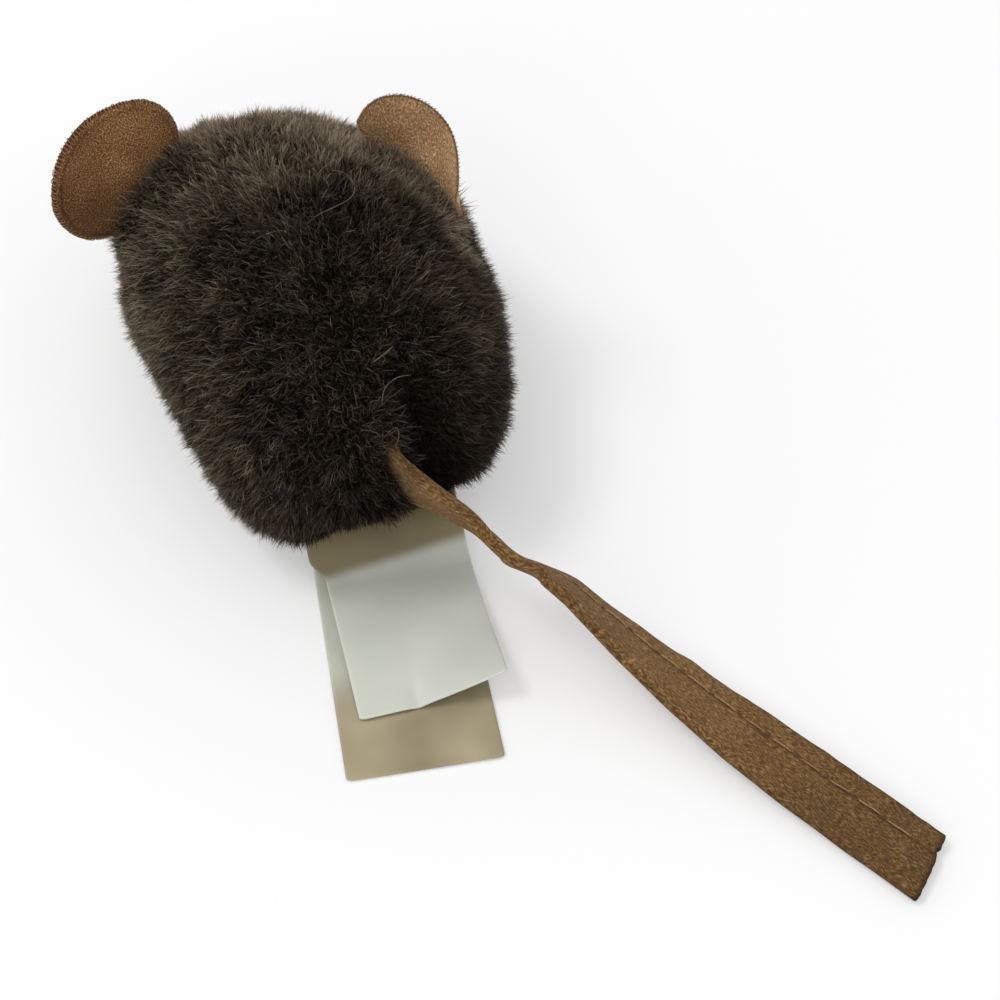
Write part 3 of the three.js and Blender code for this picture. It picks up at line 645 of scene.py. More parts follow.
label = {
    "width": 23.7,
    "fall": 13,
    "thickness": 0.4,
    "hem": 0.6,
    "rootHeight": 4.6,
    "sink": 12.5,
    "lower": {
        "length": 47.3, "heading": -12, "side": -1.5, "rise": 0, "lie": 0.4, "curl": 0, "flare": 1.0, "shoulder": 0,
        "aged": (24, 34),
    },
    "upper": {
        "length": 37, "heading": -8, "side": -0.6, "rise": 1.5, "lie": 1.6, "curl": 5, "flare": 0, "shoulder": 2.0,
        "aged": (9.6, 7.4),
    },
}
face = {
    "eyeRadius": 2.6,
    "eyeSink": 1.4,
    "eyeStep": 0.845,
    "eyeAngle": 33,
    "stem": 0.9,
    "noseRadius": 3.4,
    "noseSink": 1.6,
}


def turnAbout(vector, axis, degrees):
    angle = math.radians(degrees)
    vector, axis = np.asarray(vector, float), np.asarray(axis, float)
    aside = np.cross(axis, vector) * math.sin(angle)
    return vector * math.cos(angle) + aside + axis * (axis @ vector) * (1 - math.cos(angle))


def earFrame(side):
    # Middle of the sewn hem, then the directions along it, out to the tip and backwards
    ear = ears[side]
    (topStep, topAngle), (lowStep, lowAngle) = ear["top"], ear["low"]
    top = bodyPoint(topStep, math.radians(topAngle), ears["sink"])
    low = bodyPoint(lowStep, math.radians(lowAngle), ears["sink"])
    outward = bodyNormal((topStep + lowStep) / 2, math.radians((topAngle + lowAngle) / 2))
    hem = unit(top - low if side == "left" else low - top)
    tip = turnAbout(unit(outward - hem * (outward @ hem)), hem, ear["lean"])
    return (top + low) / 2, hem, tip, np.cross(hem, tip)


def eyeFrame(side):
    angle = math.radians(180 - face["eyeAngle"] if side == "left" else face["eyeAngle"])
    out = bodyNormal(face["eyeStep"], angle)
    place = bodyPoint(face["eyeStep"], angle) - out * face["eyeSink"]
    along = unit(np.cross(up, out))
    return place, along, np.cross(out, along), out


def hemChord():
    radius = ears["diameter"] / 2
    return math.sqrt(radius**2 - (ears["height"] - radius) ** 2)


earFrames = {side: earFrame(side) for side in ("left", "right")}
eyeFrames = {side: eyeFrame(side) for side in ("left", "right")}
tailRoot = np.array([backSeam(0), tail["sink"] - body["rump"], tail["rootHeight"]])
noseTip = bodyPoint(1.0, 0.0) - np.array([0, face["noseSink"], 0])

# Pile: strands per square millimetre for each layer, sizes in millimetres, spreads in degrees. A real fibre is a third
# as wide, too fine to show, so fewer and coarser ones stand for them
pile = {
    "layers": {
        # The under layer's strands stay dark, in part as painted shade deep in the pile
        "underPile": {
            "density": 6.0, "length": 3.6, "width": 0.24, "bend": 0.7, "segments": 2,
            "lean": 26, "spread": 180, "tones": (0.0, 0.2), "pull": 0.15, "curl": 0.8,
        },
        "midPile": {
            "density": 8.0, "length": 4.9, "width": 0.16, "bend": 1.0, "segments": 3,
            "lean": 30, "spread": 140, "tones": (0.0, 0.8), "pull": 0.1, "curl": 1.3,
        },
        "topPile": {
            "density": 8.0, "length": 5.1, "width": 0.14, "bend": 1.2, "segments": 3,
            "lean": 32, "spread": 120, "tones": (0.0, 0.9), "pull": 0.1, "curl": 1.5,
        },
        "finePile": {
            "density": 8.0, "length": 5.3, "width": 0.12, "bend": 1.4, "segments": 3,
            "lean": 36, "spread": 150, "tones": (0.0, 1.0), "pull": 0.08, "curl": 1.7,
        },
    },
    "clump": 2.0,
    "crimp": 0.75,
    "sway": 1.7,
    "patch": 8.0,
    "floor": 0.1,
    "laid": 0.45,
    # Length: what the soft bumps add to the least of it, and each strand's own range
    "raise": (0.42, 0.7),
    "grown": (0.84, 1.04),
    # Paleness: a strand's own, its tuft's, its bump's as painted light on bump tops and painted shade in the hollows,
    # and how far whole patches are darker
    "own": {"power": 3.5, "weight": 0.95},
    "tuft": 0.16,
    "bump": 0.46,
    "patchTones": (-0.5, -0.18),
    # More painted light: above the first value of the painted light strands turn to grey, at the second wholly
    "greyed": (1.1, 6.0, 1.5),
    # Where strands stand behind an ear: how much longer, how much paler as painted rim light and from how far, and
    # which end of the hem is outside
    "fringe": {
        "left": {"longer": 0.6, "paler": 1.6, "reach": (4.5, 1.5), "outside": -1},
        "right": {"longer": 0.8, "paler": 6.0, "reach": (9.5, 5), "outside": 1},
    },
}


def strandMesh(name, layer):
    # A tapering ribbon that leans over along X; its vertices know how far along and across they are
    points, along, across = [], [], []
    steps = layer["segments"]
    for step in range(steps):
        share = step / steps
        wide = layer["width"] / 2 * (1 - 0.5 * share)
        for edge in (-1, 1):
            points.append((layer["bend"] * share**1.7, edge * wide, layer["length"] * (share - 0.12 * share**2)))
            along.append(share)
            across.append(edge)
    points.append((layer["bend"], 0, layer["length"] * 0.88))
    along.append(1)
    across.append(0)
    faces = [(2 * i, 2 * i + 1, 2 * i + 3, 2 * i + 2) for i in range(steps - 1)]
    faces.append((2 * steps - 2, 2 * steps - 1, 2 * steps))
    made = newMesh(name, points, faces)
    setAttribute(made, "along", along)
    setAttribute(made, "across", across)
    return made


def leaning(add, out, ahead, tilt, spread, seed):
    # Rotations that stand on one vector and face another, each leaning and turning at random by up to two angles
    axes = {"Primary Axis": out, "Secondary Axis": ahead}
    facing = add("FunctionNodeAxesToRotation", axes, primary_axis="Z", secondary_axis="X")
    most = add("ShaderNodeCombineXYZ", {0: tilt, 1: tilt, 2: spread})
    least = add("ShaderNodeVectorMath", {0: most, 3: -1.0}, operation="SCALE")
    turned = add("FunctionNodeRandomValue", {"Min": least, "Max": most, "Seed": seed}, data_type="FLOAT_VECTOR")
    turned = add("FunctionNodeEulerToRotation", {0: turned})
    return add("FunctionNodeRotateRotation", {0: facing, 1: turned}, rotation_space="LOCAL")


def pileTree():
    sizes = ("Clump", "Crimp", "Sway", "Patch", "Curl", "Floor")
    tree, add, given = newTree("pile", {
        "Float": ("Density", "Spread", "Lean", "Pull", "Darkest", "Lightest") + sizes,
        "Object": ("Strand",), "Int": ("Seed",), "Material": ("Material",),
    })
    place, seed = add("GeometryNodeInputPosition"), given["Seed"]
    kinds = {"FLOAT": ("cover", "length", "pale", "along", "across", "tone"), "FLOAT_VECTOR": ("nap", "stand", "pull")}
    read = {
        name: add("GeometryNodeInputNamedAttribute", {"Name": name}, data_type=kind, out="Attribute")
        for kind, names in kinds.items()
        for name in names
    }
    finer, wider, tighter = (
        add("ShaderNodeMath", {0: 1.0, 1: given[size]}, operation="DIVIDE") for size in ("Clump", "Patch", "Crimp")
    )
    # Where strands grow, which way each one stands, and how long it is: each its own, and in soft bumps
    perArea = add("ShaderNodeMath", {0: given["Density"], 1: read["cover"]}, operation="MULTIPLY")
    spots = {"Mesh": given["Geometry"], "Density": perArea, "Seed": seed}
    spots = add("GeometryNodeDistributePointsOnFaces", spots, out="Points")
    tilted = leaning(add, read["stand"], read["nap"], given["Lean"], given["Spread"], seed)
    bumps = add("ShaderNodeTexNoise", {"Vector": place, "Scale": finer, "Detail": 1.0}, out="Fac")
    bumps = add("ShaderNodeMapRange", {"Value": bumps, "From Min": 0.32, "From Max": 0.68})
    raised = add("ShaderNodeMath", {0: bumps, 1: pile["raise"][0], 2: pile["raise"][1]}, operation="MULTIPLY_ADD")
    grown = add("FunctionNodeRandomValue", {2: pile["grown"][0], 3: pile["grown"][1], "Seed": seed}, out=1)
    length = read["length"]
    for factor in (raised, grown):
        length = add("ShaderNodeMath", {0: length, 1: factor}, operation="MULTIPLY")
    strand = add("GeometryNodeObjectInfo", {0: given["Strand"]}, out="Geometry")
    planted = {"Points": spots, "Instance": strand, "Rotation": tilted, "Scale": length}
    planted = add("GeometryNodeInstanceOnPoints", planted)
    # How pale it is: its own tone, its tuft's, the raised bumps' (painted light on their tops, painted shade in the
    # hollows) and the patch's
    tuft = add("ShaderNodeTexVoronoi", {"Vector": place, "Scale": finer}, out=None)
    tuftTone = add("ShaderNodeSeparateXYZ", {0: tuft["Color"]})
    patch = add("ShaderNodeTexNoise", {"Vector": place, "Scale": wider, "Detail": 2.0}, out="Fac")
    low, high = pile["patchTones"]
    patch = {"Value": patch, "From Min": 0.34, "From Max": 0.66, "To Min": low, "To Max": high}
    patch = add("ShaderNodeMapRange", patch)
    tone = add("FunctionNodeRandomValue", {2: 0.0, 3: 1.0, "Seed": seed}, out=1)
    tone = add("ShaderNodeMath", {0: tone, 1: pile["own"]["power"]}, operation="POWER")
    tone = add("ShaderNodeMath", {0: tone, 1: pile["own"]["weight"], 2: patch}, operation="MULTIPLY_ADD")
    for part, weight in ((tuftTone, pile["tuft"]), (bumps, pile["bump"])):
        tone = add("ShaderNodeMath", {0: part, 1: weight, 2: tone}, operation="MULTIPLY_ADD")
    # Times the painted light and shade that combPanel writes on the panel
    tone = add("ShaderNodeMath", {0: tone, 1: read["pale"]}, operation="MULTIPLY")
    start, end, most = pile["greyed"]
    greyed = add("ShaderNodeMapRange", {"Value": read["pale"], "From Min": start, "From Max": end, "To Max": most})
    tone = add("ShaderNodeMath", {0: tone, 1: greyed}, operation="ADD")
    tone = add("ShaderNodeMapRange", {"Value": tone, "To Min": given["Darkest"], "To Max": given["Lightest"]})
    # Tufts: strand tips drawn together
    inwards = add("ShaderNodeVectorMath", {0: tuft["Position"], 1: place}, operation="SUBTRACT")
    inwards = add("ShaderNodeVectorMath", {0: inwards, 3: given["Pull"]}, operation="SCALE")
    for name, value, kind in (("tone", tone, "FLOAT"), ("pull", inwards, "FLOAT_VECTOR")):
        planted = {"Geometry": planted, "Name": name, "Value": value}
        planted = add("GeometryNodeStoreNamedAttribute", planted, data_type=kind, domain="INSTANCE")
    planted = add("GeometryNodeRealizeInstances", {0: planted})
    # Crimp: neighbours curl alike. Sway: tufts lean together, each its own way
    pulled = read["pull"]
    for scale, detail, size in ((tighter, 1.0, "Curl"), (finer, 0.0, "Sway")):
        swing = add("ShaderNodeTexNoise", {"Vector": place, "Scale": scale, "Detail": detail}, out="Color")
        swing = add("ShaderNodeVectorMath", {0: swing, 1: (0.5, 0.5, 0.5)}, operation="SUBTRACT")
        swing = add("ShaderNodeVectorMath", {0: swing, 3: given[size]}, operation="SCALE")
        pulled = add("ShaderNodeVectorMath", {0: pulled, 1: swing}, operation="ADD")
    further = add("ShaderNodeMath", {0: read["along"], 1: 1.4}, operation="POWER")
    offset = add("ShaderNodeVectorMath", {0: pulled, 3: further}, operation="SCALE")
    curled = add("GeometryNodeSetPosition", {"Geometry": planted, "Offset": offset})
    at = add("ShaderNodeSeparateXYZ", {0: place}, out=None)
    height = add("ShaderNodeMath", {0: at[2], 1: given["Floor"]}, operation="MAXIMUM")
    above = add("ShaderNodeCombineXYZ", {0: at[0], 1: at[1], 2: height})
    curled = add("GeometryNodeSetPosition", {"Geometry": curled, "Position": above})
    # The map that the material reads: tone one way, the way along the strand the other
    kept = add("ShaderNodeMath", {0: read["tone"], 1: 0.96, 2: 0.02}, operation="MULTIPLY_ADD")
    kept = add("ShaderNodeMath", {0: read["across"], 1: 0.012, 2: kept}, operation="MULTIPLY_ADD")
    mapped = {"Geometry": curled, "Name": "OFBake", "Value": add("ShaderNodeCombineXYZ", {0: kept, 1: read["along"]})}
    mapped = add("GeometryNodeStoreNamedAttribute", mapped, data_type="FLOAT2", domain="CORNER")
    shaded = add("GeometryNodeSetMaterial", {"Geometry": mapped, "Material": given["Material"]})
    add("NodeGroupOutput", {0: shaded}, out=None)
    return tree


def dropAttributes(made, names):
    for name in names:
        layer = made.data.attributes.get(name)
        if layer:
            made.data.attributes.remove(layer)


def growPile(panel, name, layer, seed, tree, share):
    strand = strandMesh("strand", layer)
    made = placed(name, panel.data.copy())
    values = {key.capitalize(): pile[key] * mm for key in ("clump", "crimp", "sway", "patch", "floor")}
    values |= {key.capitalize(): math.radians(layer[key]) for key in ("spread", "lean")}
    values |= {"Density": layer["density"] * share / mm**2, "Pull": layer["pull"], "Curl": layer["curl"] * mm}
    values |= {"Darkest": layer["tones"][0], "Lightest": layer["tones"][1], "Seed": seed}
    runTree(made, tree, values | {"Strand": strand, "Material": materials["pile"]})
    bpy.data.objects.remove(strand)
    made.name = made.data.name = name
    dropAttributes(made, combed + ("tone", "pull", "along", "across"))
    return made


# What combPanel writes on a panel for the pile to read
combed = ("cover", "nap", "stand", "pale", "length")


def combPanel(panel):
    # Which way the pile lies on a panel, how long it is there, how pale as painted light and shade, and where it is
    # left out
    points, normals = pointsOf(panel), rowsOf(panel.data.vertex_normals, "vector")
    step = stepAt(points[:, 1])
    away = points[:, 0] - seamAt(points[:, 1])
    aside = smooth(4, 22, np.abs(away))
    outward = np.sign(away) * smooth(0, 7, np.abs(away))
    lay = np.stack([0.8 * outward, -0.3 - 0.35 * aside, -0.6 * aside], -1)
    # Left of the tail the pile leans in over its root, right of it the pile parts
    near = distanceTo(points, tailRoot + up * 6, tailRoot - up * 7)
    byTail = smooth(8, 3, near)[:, None]
    lay = lay * (1 - byTail) + np.array([0.8, 0, 0.5]) * byTail
    lay -= normals * (lay * normals).sum(1, keepdims=True)
    length = (skinDepth(step) + 1.6) / (skin["depth"] + 1.6)
    length *= 1 - 0.55 * smooth(6, 1.5, points[:, 2])
    length *= 1 - 0.16 * smooth(2.5, 0.5, np.abs(away)) * (points[:, 2] > body["girth"])
    length *= 1 + smooth(7, 3, near) * np.where(away < 0, 0.35, -0.25)
    # The label parts the pile where it comes out of the rump seam
    parted = smooth(15, 8, np.abs(points[:, 0] + 1)) * smooth(-22, -28, points[:, 1]) * smooth(21, 12, points[:, 2])
    length *= 1 - 0.85 * parted
    # Painted light and shade: paler on the head and the left flank, dark down the back and right of the tail
    y = points[:, 1]
    pale = 0.5 + 0.3 * smooth(-4, -24, away) * smooth(-38, -12, y) + 0.4 * smooth(-8, 26, y)
    brow, flank, rump = smooth(0, 22, y) * smooth(17, 5, np.abs(away)), smooth(12, 28, away), smooth(-26, -34, y)
    pale += 1.4 * brow + 0.15 * flank - 0.2 * rump
    pale *= 1 - 0.85 * smooth(14, 7, near) * (away > 0)
    # Behind the ears it stands up against the cloth, longest and with the most painted rim light by the right one;
    # before them it is short
    cover = np.ones(len(points))
    half = hemChord()
    for side, (middle, hem, tip, back) in earFrames.items():
        fringe = pile["fringe"][side]
        near = distanceTo(points, middle - hem * half - tip * 2, middle + hem * half - tip * 2)
        cover *= smooth(1.2, 1.9, near)
        behind, alongHem = smooth(-0.5, 1.5, (points - middle) @ back), (points - middle) @ hem
        by = smooth(7, 2, near) * smooth(2, -1.5, np.abs(alongHem) - half)
        length *= 1 + fringe["longer"] * by * behind - 0.3 * by * (1 - behind)
        pale += fringe["paler"] * smooth(*fringe["reach"], near) * behind
        length *= 1 - 0.45 * smooth(-1, 2, alongHem * fringe["outside"] - half) * smooth(12, 5, near)
        cover *= 1 + 0.4 * by * behind
        lay = lay * (1 - by[:, None]) + 2 * tip * by[:, None]
    for place, *_ in eyeFrames.values():
        near = np.linalg.norm(points - place, axis=1)
        cover *= smooth(face["eyeRadius"] - 0.3, face["eyeRadius"] + 0.5, near)
        length *= 0.45 + 0.55 * smooth(2, 9, near)
    cover *= smooth(face["noseRadius"] - 1.2, face["noseRadius"], np.linalg.norm(points - noseTip, axis=1))
    nap, stand = unit(lay + normals * 1e-3), unit(normals + pile["laid"] * lay)
    for name, values in zip(combed, (cover, nap, stand, pale, length)):
        setAttribute(panel, name, values)


keeps = {
    "left_side_panel": ("leftPanel", lambda x, y, z: z > body["bellySeam"] and x < seamAt(y)),
    "right_side_panel": ("rightPanel", lambda x, y, z: z > body["bellySeam"] and x >= seamAt(y)),
    "belly_panel": ("bellyPanel", lambda x, y, z: z <= body["bellySeam"]),
}
panels = {node: cutPanel(skinObject, *keep, materials["backing"]) for node, keep in keeps.items()}
bpy.data.objects.remove(skinObject)
growTree = pileTree()
for number, (node, panel) in enumerate(panels.items()):
    combPanel(panel)
    share = 0.6 if node == "belly_panel" else 1.0
    for turn, (kind, layer) in enumerate(pile["layers"].items()):
        name = panel.name.replace("Panel", "") + kind[0].upper() + kind[1:]
        tuft = growPile(panel, name, layer, 10 * number + turn, growTree, share)
        onBody(tuft)
        print(tuft.name, len(tuft.data.polygons), "faces")
    dropAttributes(panel, combed)
    wall = panel.modifiers.new("backing", "SOLIDIFY")
    wall.thickness, wall.offset = skin["backing"] * mm, -1
    applied(panel, panel.name)
    onBody(panel)
    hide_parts(node)
print("plush panels and pile are ready")


# Stitches: a thread shape set along guide points that know which way they run
def stitchTree():
    sockets = {"Object": ("Stitch",), "Float": ("Turn", "Scatter"), "Int": ("Seed",), "Material": ("Material",)}
    tree, add, given = newTree("stitches", sockets)
    dots = add("GeometryNodeMeshToPoints", {"Mesh": given["Geometry"]})
    out, ahead, shape = (
        add("GeometryNodeInputNamedAttribute", {"Name": name}, data_type="FLOAT_VECTOR", out="Attribute")
        for name in ("out", "ahead", "size")
    )
    facing = leaning(add, out, ahead, given["Scatter"], given["Turn"], given["Seed"])
    size = add("FunctionNodeRandomValue", {2: 0.82, 3: 1.14, "Seed": given["Seed"]}, out=1)
    size = add("ShaderNodeVectorMath", {0: shape, 3: size}, operation="SCALE")
    stitch = add("GeometryNodeObjectInfo", {0: given["Stitch"]}, out="Geometry")
    sewn = {"Points": dots, "Instance": stitch, "Rotation": facing, "Scale": size}
    sewn = add("GeometryNodeRealizeInstances", {0: add("GeometryNodeInstanceOnPoints", sewn)})
    shaded = add("GeometryNodeSetMaterial", {"Geometry": sewn, "Material": given["Material"]})
    add("NodeGroupOutput", {0: add("GeometryNodeSetShadeSmooth", {0: shaded})}, out=None)
    return tree


def tube(name, path, radius, sides=6, closed=False):
    # A round thread through the points of a path, its ends rounded off, as a closed mesh
    path = np.asarray(path, float)
    count = len(path)
    ahead = unit(np.gradient(path, axis=0) if not closed else np.roll(path, -1, 0) - np.roll(path, 1, 0))
    side = unit(np.cross(ahead, up + 1e-3))
    rise = np.cross(side, ahead)
    angle = 2 * np.pi * np.arange(sides)[None, :, None] / sides
    share = np.linspace(0, 1, count)
    thin = np.ones(count) if closed else np.sqrt(np.clip(1 - np.abs(2 * share - 1) ** 8, 0.06, 1))
    ring = side[:, None] * np.cos(angle) + rise[:, None] * np.sin(angle)
    points = (path[:, None] + radius * thin[:, None, None] * ring).reshape(-1, 3)
    corners = ((0, 0), (1, 0), (1, 1), (0, 1))
    faces = [
        tuple((r + down) % count * sides + (c + right) % sides for down, right in corners)
        for r in range(count if closed else count - 1)
        for c in range(sides)
    ]
    if not closed:
        faces += [tuple(range(sides)), tuple((count - 1) * sides + c for c in reversed(range(sides)))]
    return newMesh(name, points, faces)


def sew(name, points, ahead, out, shape, material, turn=0.0, scatter=0.0, seed=1, size=None):
    # A row of stitches as one mesh: shape is set at each point, its X ahead and its Z out; it turns and leans at random
    # by up to two angles in degrees
    guide = newMesh(name, points, [])
    size = np.ones((len(points), 3)) if size is None else size
    for field, rows in (("ahead", ahead), ("out", out), ("size", size)):
        setAttribute(guide, field, rows)
    angles = {"Turn": math.radians(turn), "Scatter": math.radians(scatter)}
    runTree(guide, sewTree, angles | {"Stitch": shape, "Seed": seed, "Material": material})
    bpy.data.objects.remove(shape)
    guide.name = guide.data.name = name
    return guide


def wayAlong(path):
    return np.concatenate([[0], np.cumsum(np.linalg.norm(np.diff(path, axis=0), axis=1))])


def placesAt(stops, way, path):
    return np.stack([np.interp(stops, way, path[:, i]) for i in range(3)], 1)


def alongPath(path, pitch):
    # Points at an even pitch along a path, and the directions there
    way = wayAlong(path)
    places = placesAt(np.linspace(0, way[-1], max(2, round(way[-1] / pitch) + 1)), way, path)
    return places, unit(np.gradient(places, axis=0))


sewTree = stitchTree()

# Loose pale hairs lying on the pile: steps and degrees along the way of each, and its radius and height in millimetres
looseHairs = {
    "backHair": ((0.475, 93), (0.485, 89), (0.49, 84), (0.5, 78), (0.52, 75), (0.547, 75), (0.56, 79)),
    "flankHair": ((0.484, 108), (0.484, 104), (0.48, 100), (0.468, 98)),
    "rumpHair": ((0.21, 87), (0.23, 85), (0.241, 80), (0.241, 74)),
    "seamHair": ((0.27, 87), (0.277, 83), (0.285, 79)),
    "rootHair": ((0.164, 87), (0.169, 82), (0.15, 81.5), (0.138, 85), (0.148, 90)),
    "headHair": ((0.631, 69), (0.65, 64), (0.684, 58), (0.73, 48)),
    "sideHair": ((0.585, 142), (0.557, 136), (0.535, 129)),
}
hairLook = {"radius": 0.04, "height": 0.1, "points": 24}


def layHair(name, way):
    t = np.linspace(0, 1, hairLook["points"])
    step, angle = np.array(way).T
    path = bodyPoint(follow(step, t), np.radians(follow(angle, t)), -hairLook["height"])
    made = tube(name, path, hairLook["radius"], 4)
    made.data.materials.append(materials["stray"])
    onBody(made)


for name, way in looseHairs.items():
    layHair(name, way)

# Ears: two plies of suede sewn together round the rim; sizes in millimetres
earLook = {
    "rows": 44,
    "columns": 40,
    "thickness": {"left": 1.7, "right": 0.8},
    "rimThickness": {"left": 1.15, "right": 0.45},
    "rimWidth": {"left": 1.5, "right": 3},
    "wave": 0.35,
    "stitchPitch": 0.62,
    "stitchRadius": 0.085,
    "stitchReach": {"left": 0.85, "right": 0.3},
    # Painted shade on the ears: how far in from the rim, how deep in the overlock's groove, how much away from a
    # painted-light spot
    "dark": {"left": 0.45, "right": 0.3},
    "pressed": {"left": 0.35, "right": 0},
    "shaded": {"left": 0.6, "right": 0.3},
    "flex": 5,
}


def earSurface(side, across, height):
    # A point of the ear's middle surface from its flat pattern
    ear, (middle, hem, tip, back) = ears[side], earFrames[side]
    radius, curl = ears["diameter"] / 2, math.radians(ear["curl"])
    rise = np.clip(height / ears["height"], 0, 1.1)
    turn = curl * across / radius
    aside = radius * np.sin(turn) / curl if curl else across
    bowl = radius * (1 - np.cos(turn)) / curl if curl else 0 * across
    deep = bowl * np.minimum(1, 2 * rise) + ears["height"] * ear["bend"] * rise**2
    deep = deep + earLook["wave"] * np.sin(across * 0.42 + 1.1) * np.sin(height * 0.27 + 0.4) * smooth(2, 9, height)
    return middle + aside[..., None] * hem + height[..., None] * tip + deep[..., None] * back


def earNormal(side, across, height):
    small = 0.05
    wide = earSurface(side, across + small, height) - earSurface(side, across - small, height)
    high = earSurface(side, across, height + small) - earSurface(side, across, height - small)
    return unit(np.cross(wide, high))


def buildEar(side):
    radius, name, rimThickness = ears["diameter"] / 2, side + "Ear", earLook["rimThickness"][side]
    centre = ears["height"] - radius
    start = math.asin(-centre / radius)
    angle = np.linspace(start, math.radians(86), earLook["rows"])[:, None]
    share = np.sin(np.linspace(-1, 1, earLook["columns"]) * math.pi / 2)[None]
    across, height = radius * np.cos(angle) * share, centre + radius * np.sin(angle) + 0 * share
    inner = radius - np.hypot(across, height - centre)
    full = smooth(0, earLook["rimWidth"][side], inner)
    thick = rimThickness + (earLook["thickness"][side] - rimThickness) * full
    thick = np.sqrt(smooth(-0.01, 0.45, inner) + 0.08) * thick
    made = sheetMesh(name, earSurface(side, across, height), thick, materials[side + "Ear"])
    # Painted shade: darkest at the rim and where the overlock pulls the cloth down, a little darker by the hem; painted
    # light: palest round a spot above the hem, darker away from it
    edge = 0.8 * smooth(earLook["dark"][side], 0.0, inner) + 0.15 * smooth(4, 0, height)
    edge = edge + earLook["pressed"][side] * smooth(0.35, 0.0, np.abs(inner - 1.15))
    edge = edge + earLook["shaded"][side] * smooth(1, 18, np.hypot(across - 6.5, height - 13))
    setAttribute(made, "edge", np.tile(np.clip(edge, 0, 0.9).ravel(), 2))
    layCloth(made, across + radius, height)
    refined(made, name)
    flat = (ears["diameter"] * mm, ears["height"] * mm)
    # Overlock thread: loops over the edge
    turn = np.linspace(math.pi - start - 0.12, start + 0.12, 400)
    flat = np.stack([(radius - 0.1) * np.cos(turn), centre + (radius - 0.1) * np.sin(turn)])
    rim = earSurface(side, *flat)
    spots, ahead = alongPath(rim, earLook["stitchPitch"])
    flatAt = [np.interp(np.linspace(0, 1, len(spots)), np.linspace(0, 1, 400), row) for row in flat]
    normal = earNormal(side, *flatAt)
    outward = np.cross(ahead, normal)
    outward *= np.sign((outward * (spots - earFrames[side][0])).sum(1, keepdims=True))
    reach, half = earLook["stitchReach"][side], rimThickness / 2 + 0.04
    bow = np.linspace(-1, 1, 9)
    loop = np.stack([0.22 * bow, half * 1.12 * np.sin(bow * math.pi / 2), -reach * np.abs(bow) ** 2.2 + 0.16], 1)
    loop = tube("loop", loop, earLook["stitchRadius"], 5)
    loops = sew(side + "EarOverlock", spots, ahead, outward, loop, materials["overlock"], turn=24, scatter=13, seed=3)
    bendWithEar(made, side)
    bendWithEar(loops, side)
    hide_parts(side + "_ear_back_ply", side + "_ear_front_ply")


def bendWithEar(made, side):
    middle, _, tip, _ = earFrames[side]
    bends(made, ("body", side + "_ear"), middle, tip, earLook["flex"])


for side in ("left", "right"):
    buildEar(side)
print("ears are ready")

# Tail: one strip of suede folded along its length, sewn near its open edge; sizes in millimetres
tailLook = {
    "rows": 180,
    "flatColumns": 14,
    "foldColumns": 7,
    "seam": 3.6,
    "pitch": 5.4,
    "dimple": 0.16,
    "thread": 0.12,
    "knot": 0.42,
    "sewnFrom": 30,
    "skew": 2.4,
    "ragged": 0.35,
    "waves": 0.6,
    "kink": {"at": 57.5, "width": 2.4, "depth": 0.6},
    "flex": 9,
}


def tailSpine(t):
    heading = turnAbout((0, -1, 0), up, tail["heading"])
    left = np.cross(heading, up)
    way = tail["reach"] * (follow(tail["along"], t)[..., None] * heading + follow(tail["side"], t)[..., None] * left)
    point = tailRoot + way
    point[..., 2] = tail["rootHeight"] * follow(tail["rise"], t)
    return point


def tailFrames(t):
    small = 0.5 / 30
    ahead = tailSpine(np.minimum(1, t + small)) - tailSpine(np.maximum(0, t - small))
    ahead[..., 2] = np.where(t <= 0, 0, ahead[..., 2])
    ahead = unit(ahead)
    left = unit(np.cross(ahead, up))
    rise = np.cross(left, ahead)
    turn = np.radians(follow(tail["turns"], t))[..., None]
    across = left * np.cos(turn) + rise * np.sin(turn)
    return ahead, across, np.cross(across, ahead)


def tailPath(width):
    # Across the folded strip: open edge of the upper ply, round the fold, open edge of the lower ply
    middle = (tail["ply"] + tail["slit"]) / 2
    fold = width / 2 - middle - tail["ply"] / 2
    flat = np.linspace(-width / 2, fold, tailLook["flatColumns"] * 2)
    turn = np.linspace(math.pi / 2, -math.pi / 2, tailLook["foldColumns"])[1:-1]
    aside = np.concatenate([flat, fold + middle * np.cos(turn), flat[::-1]])
    deep = np.concatenate([middle + 0 * flat, middle * np.sin(turn), -middle + 0 * flat])
    return aside, deep


def waveAt(way, fromOpen):
    # The strip's slight waves along its open edge
    return 0.16 * np.sin(way * 0.55 + 0.3 * fromOpen) * smooth(18, 40, way)


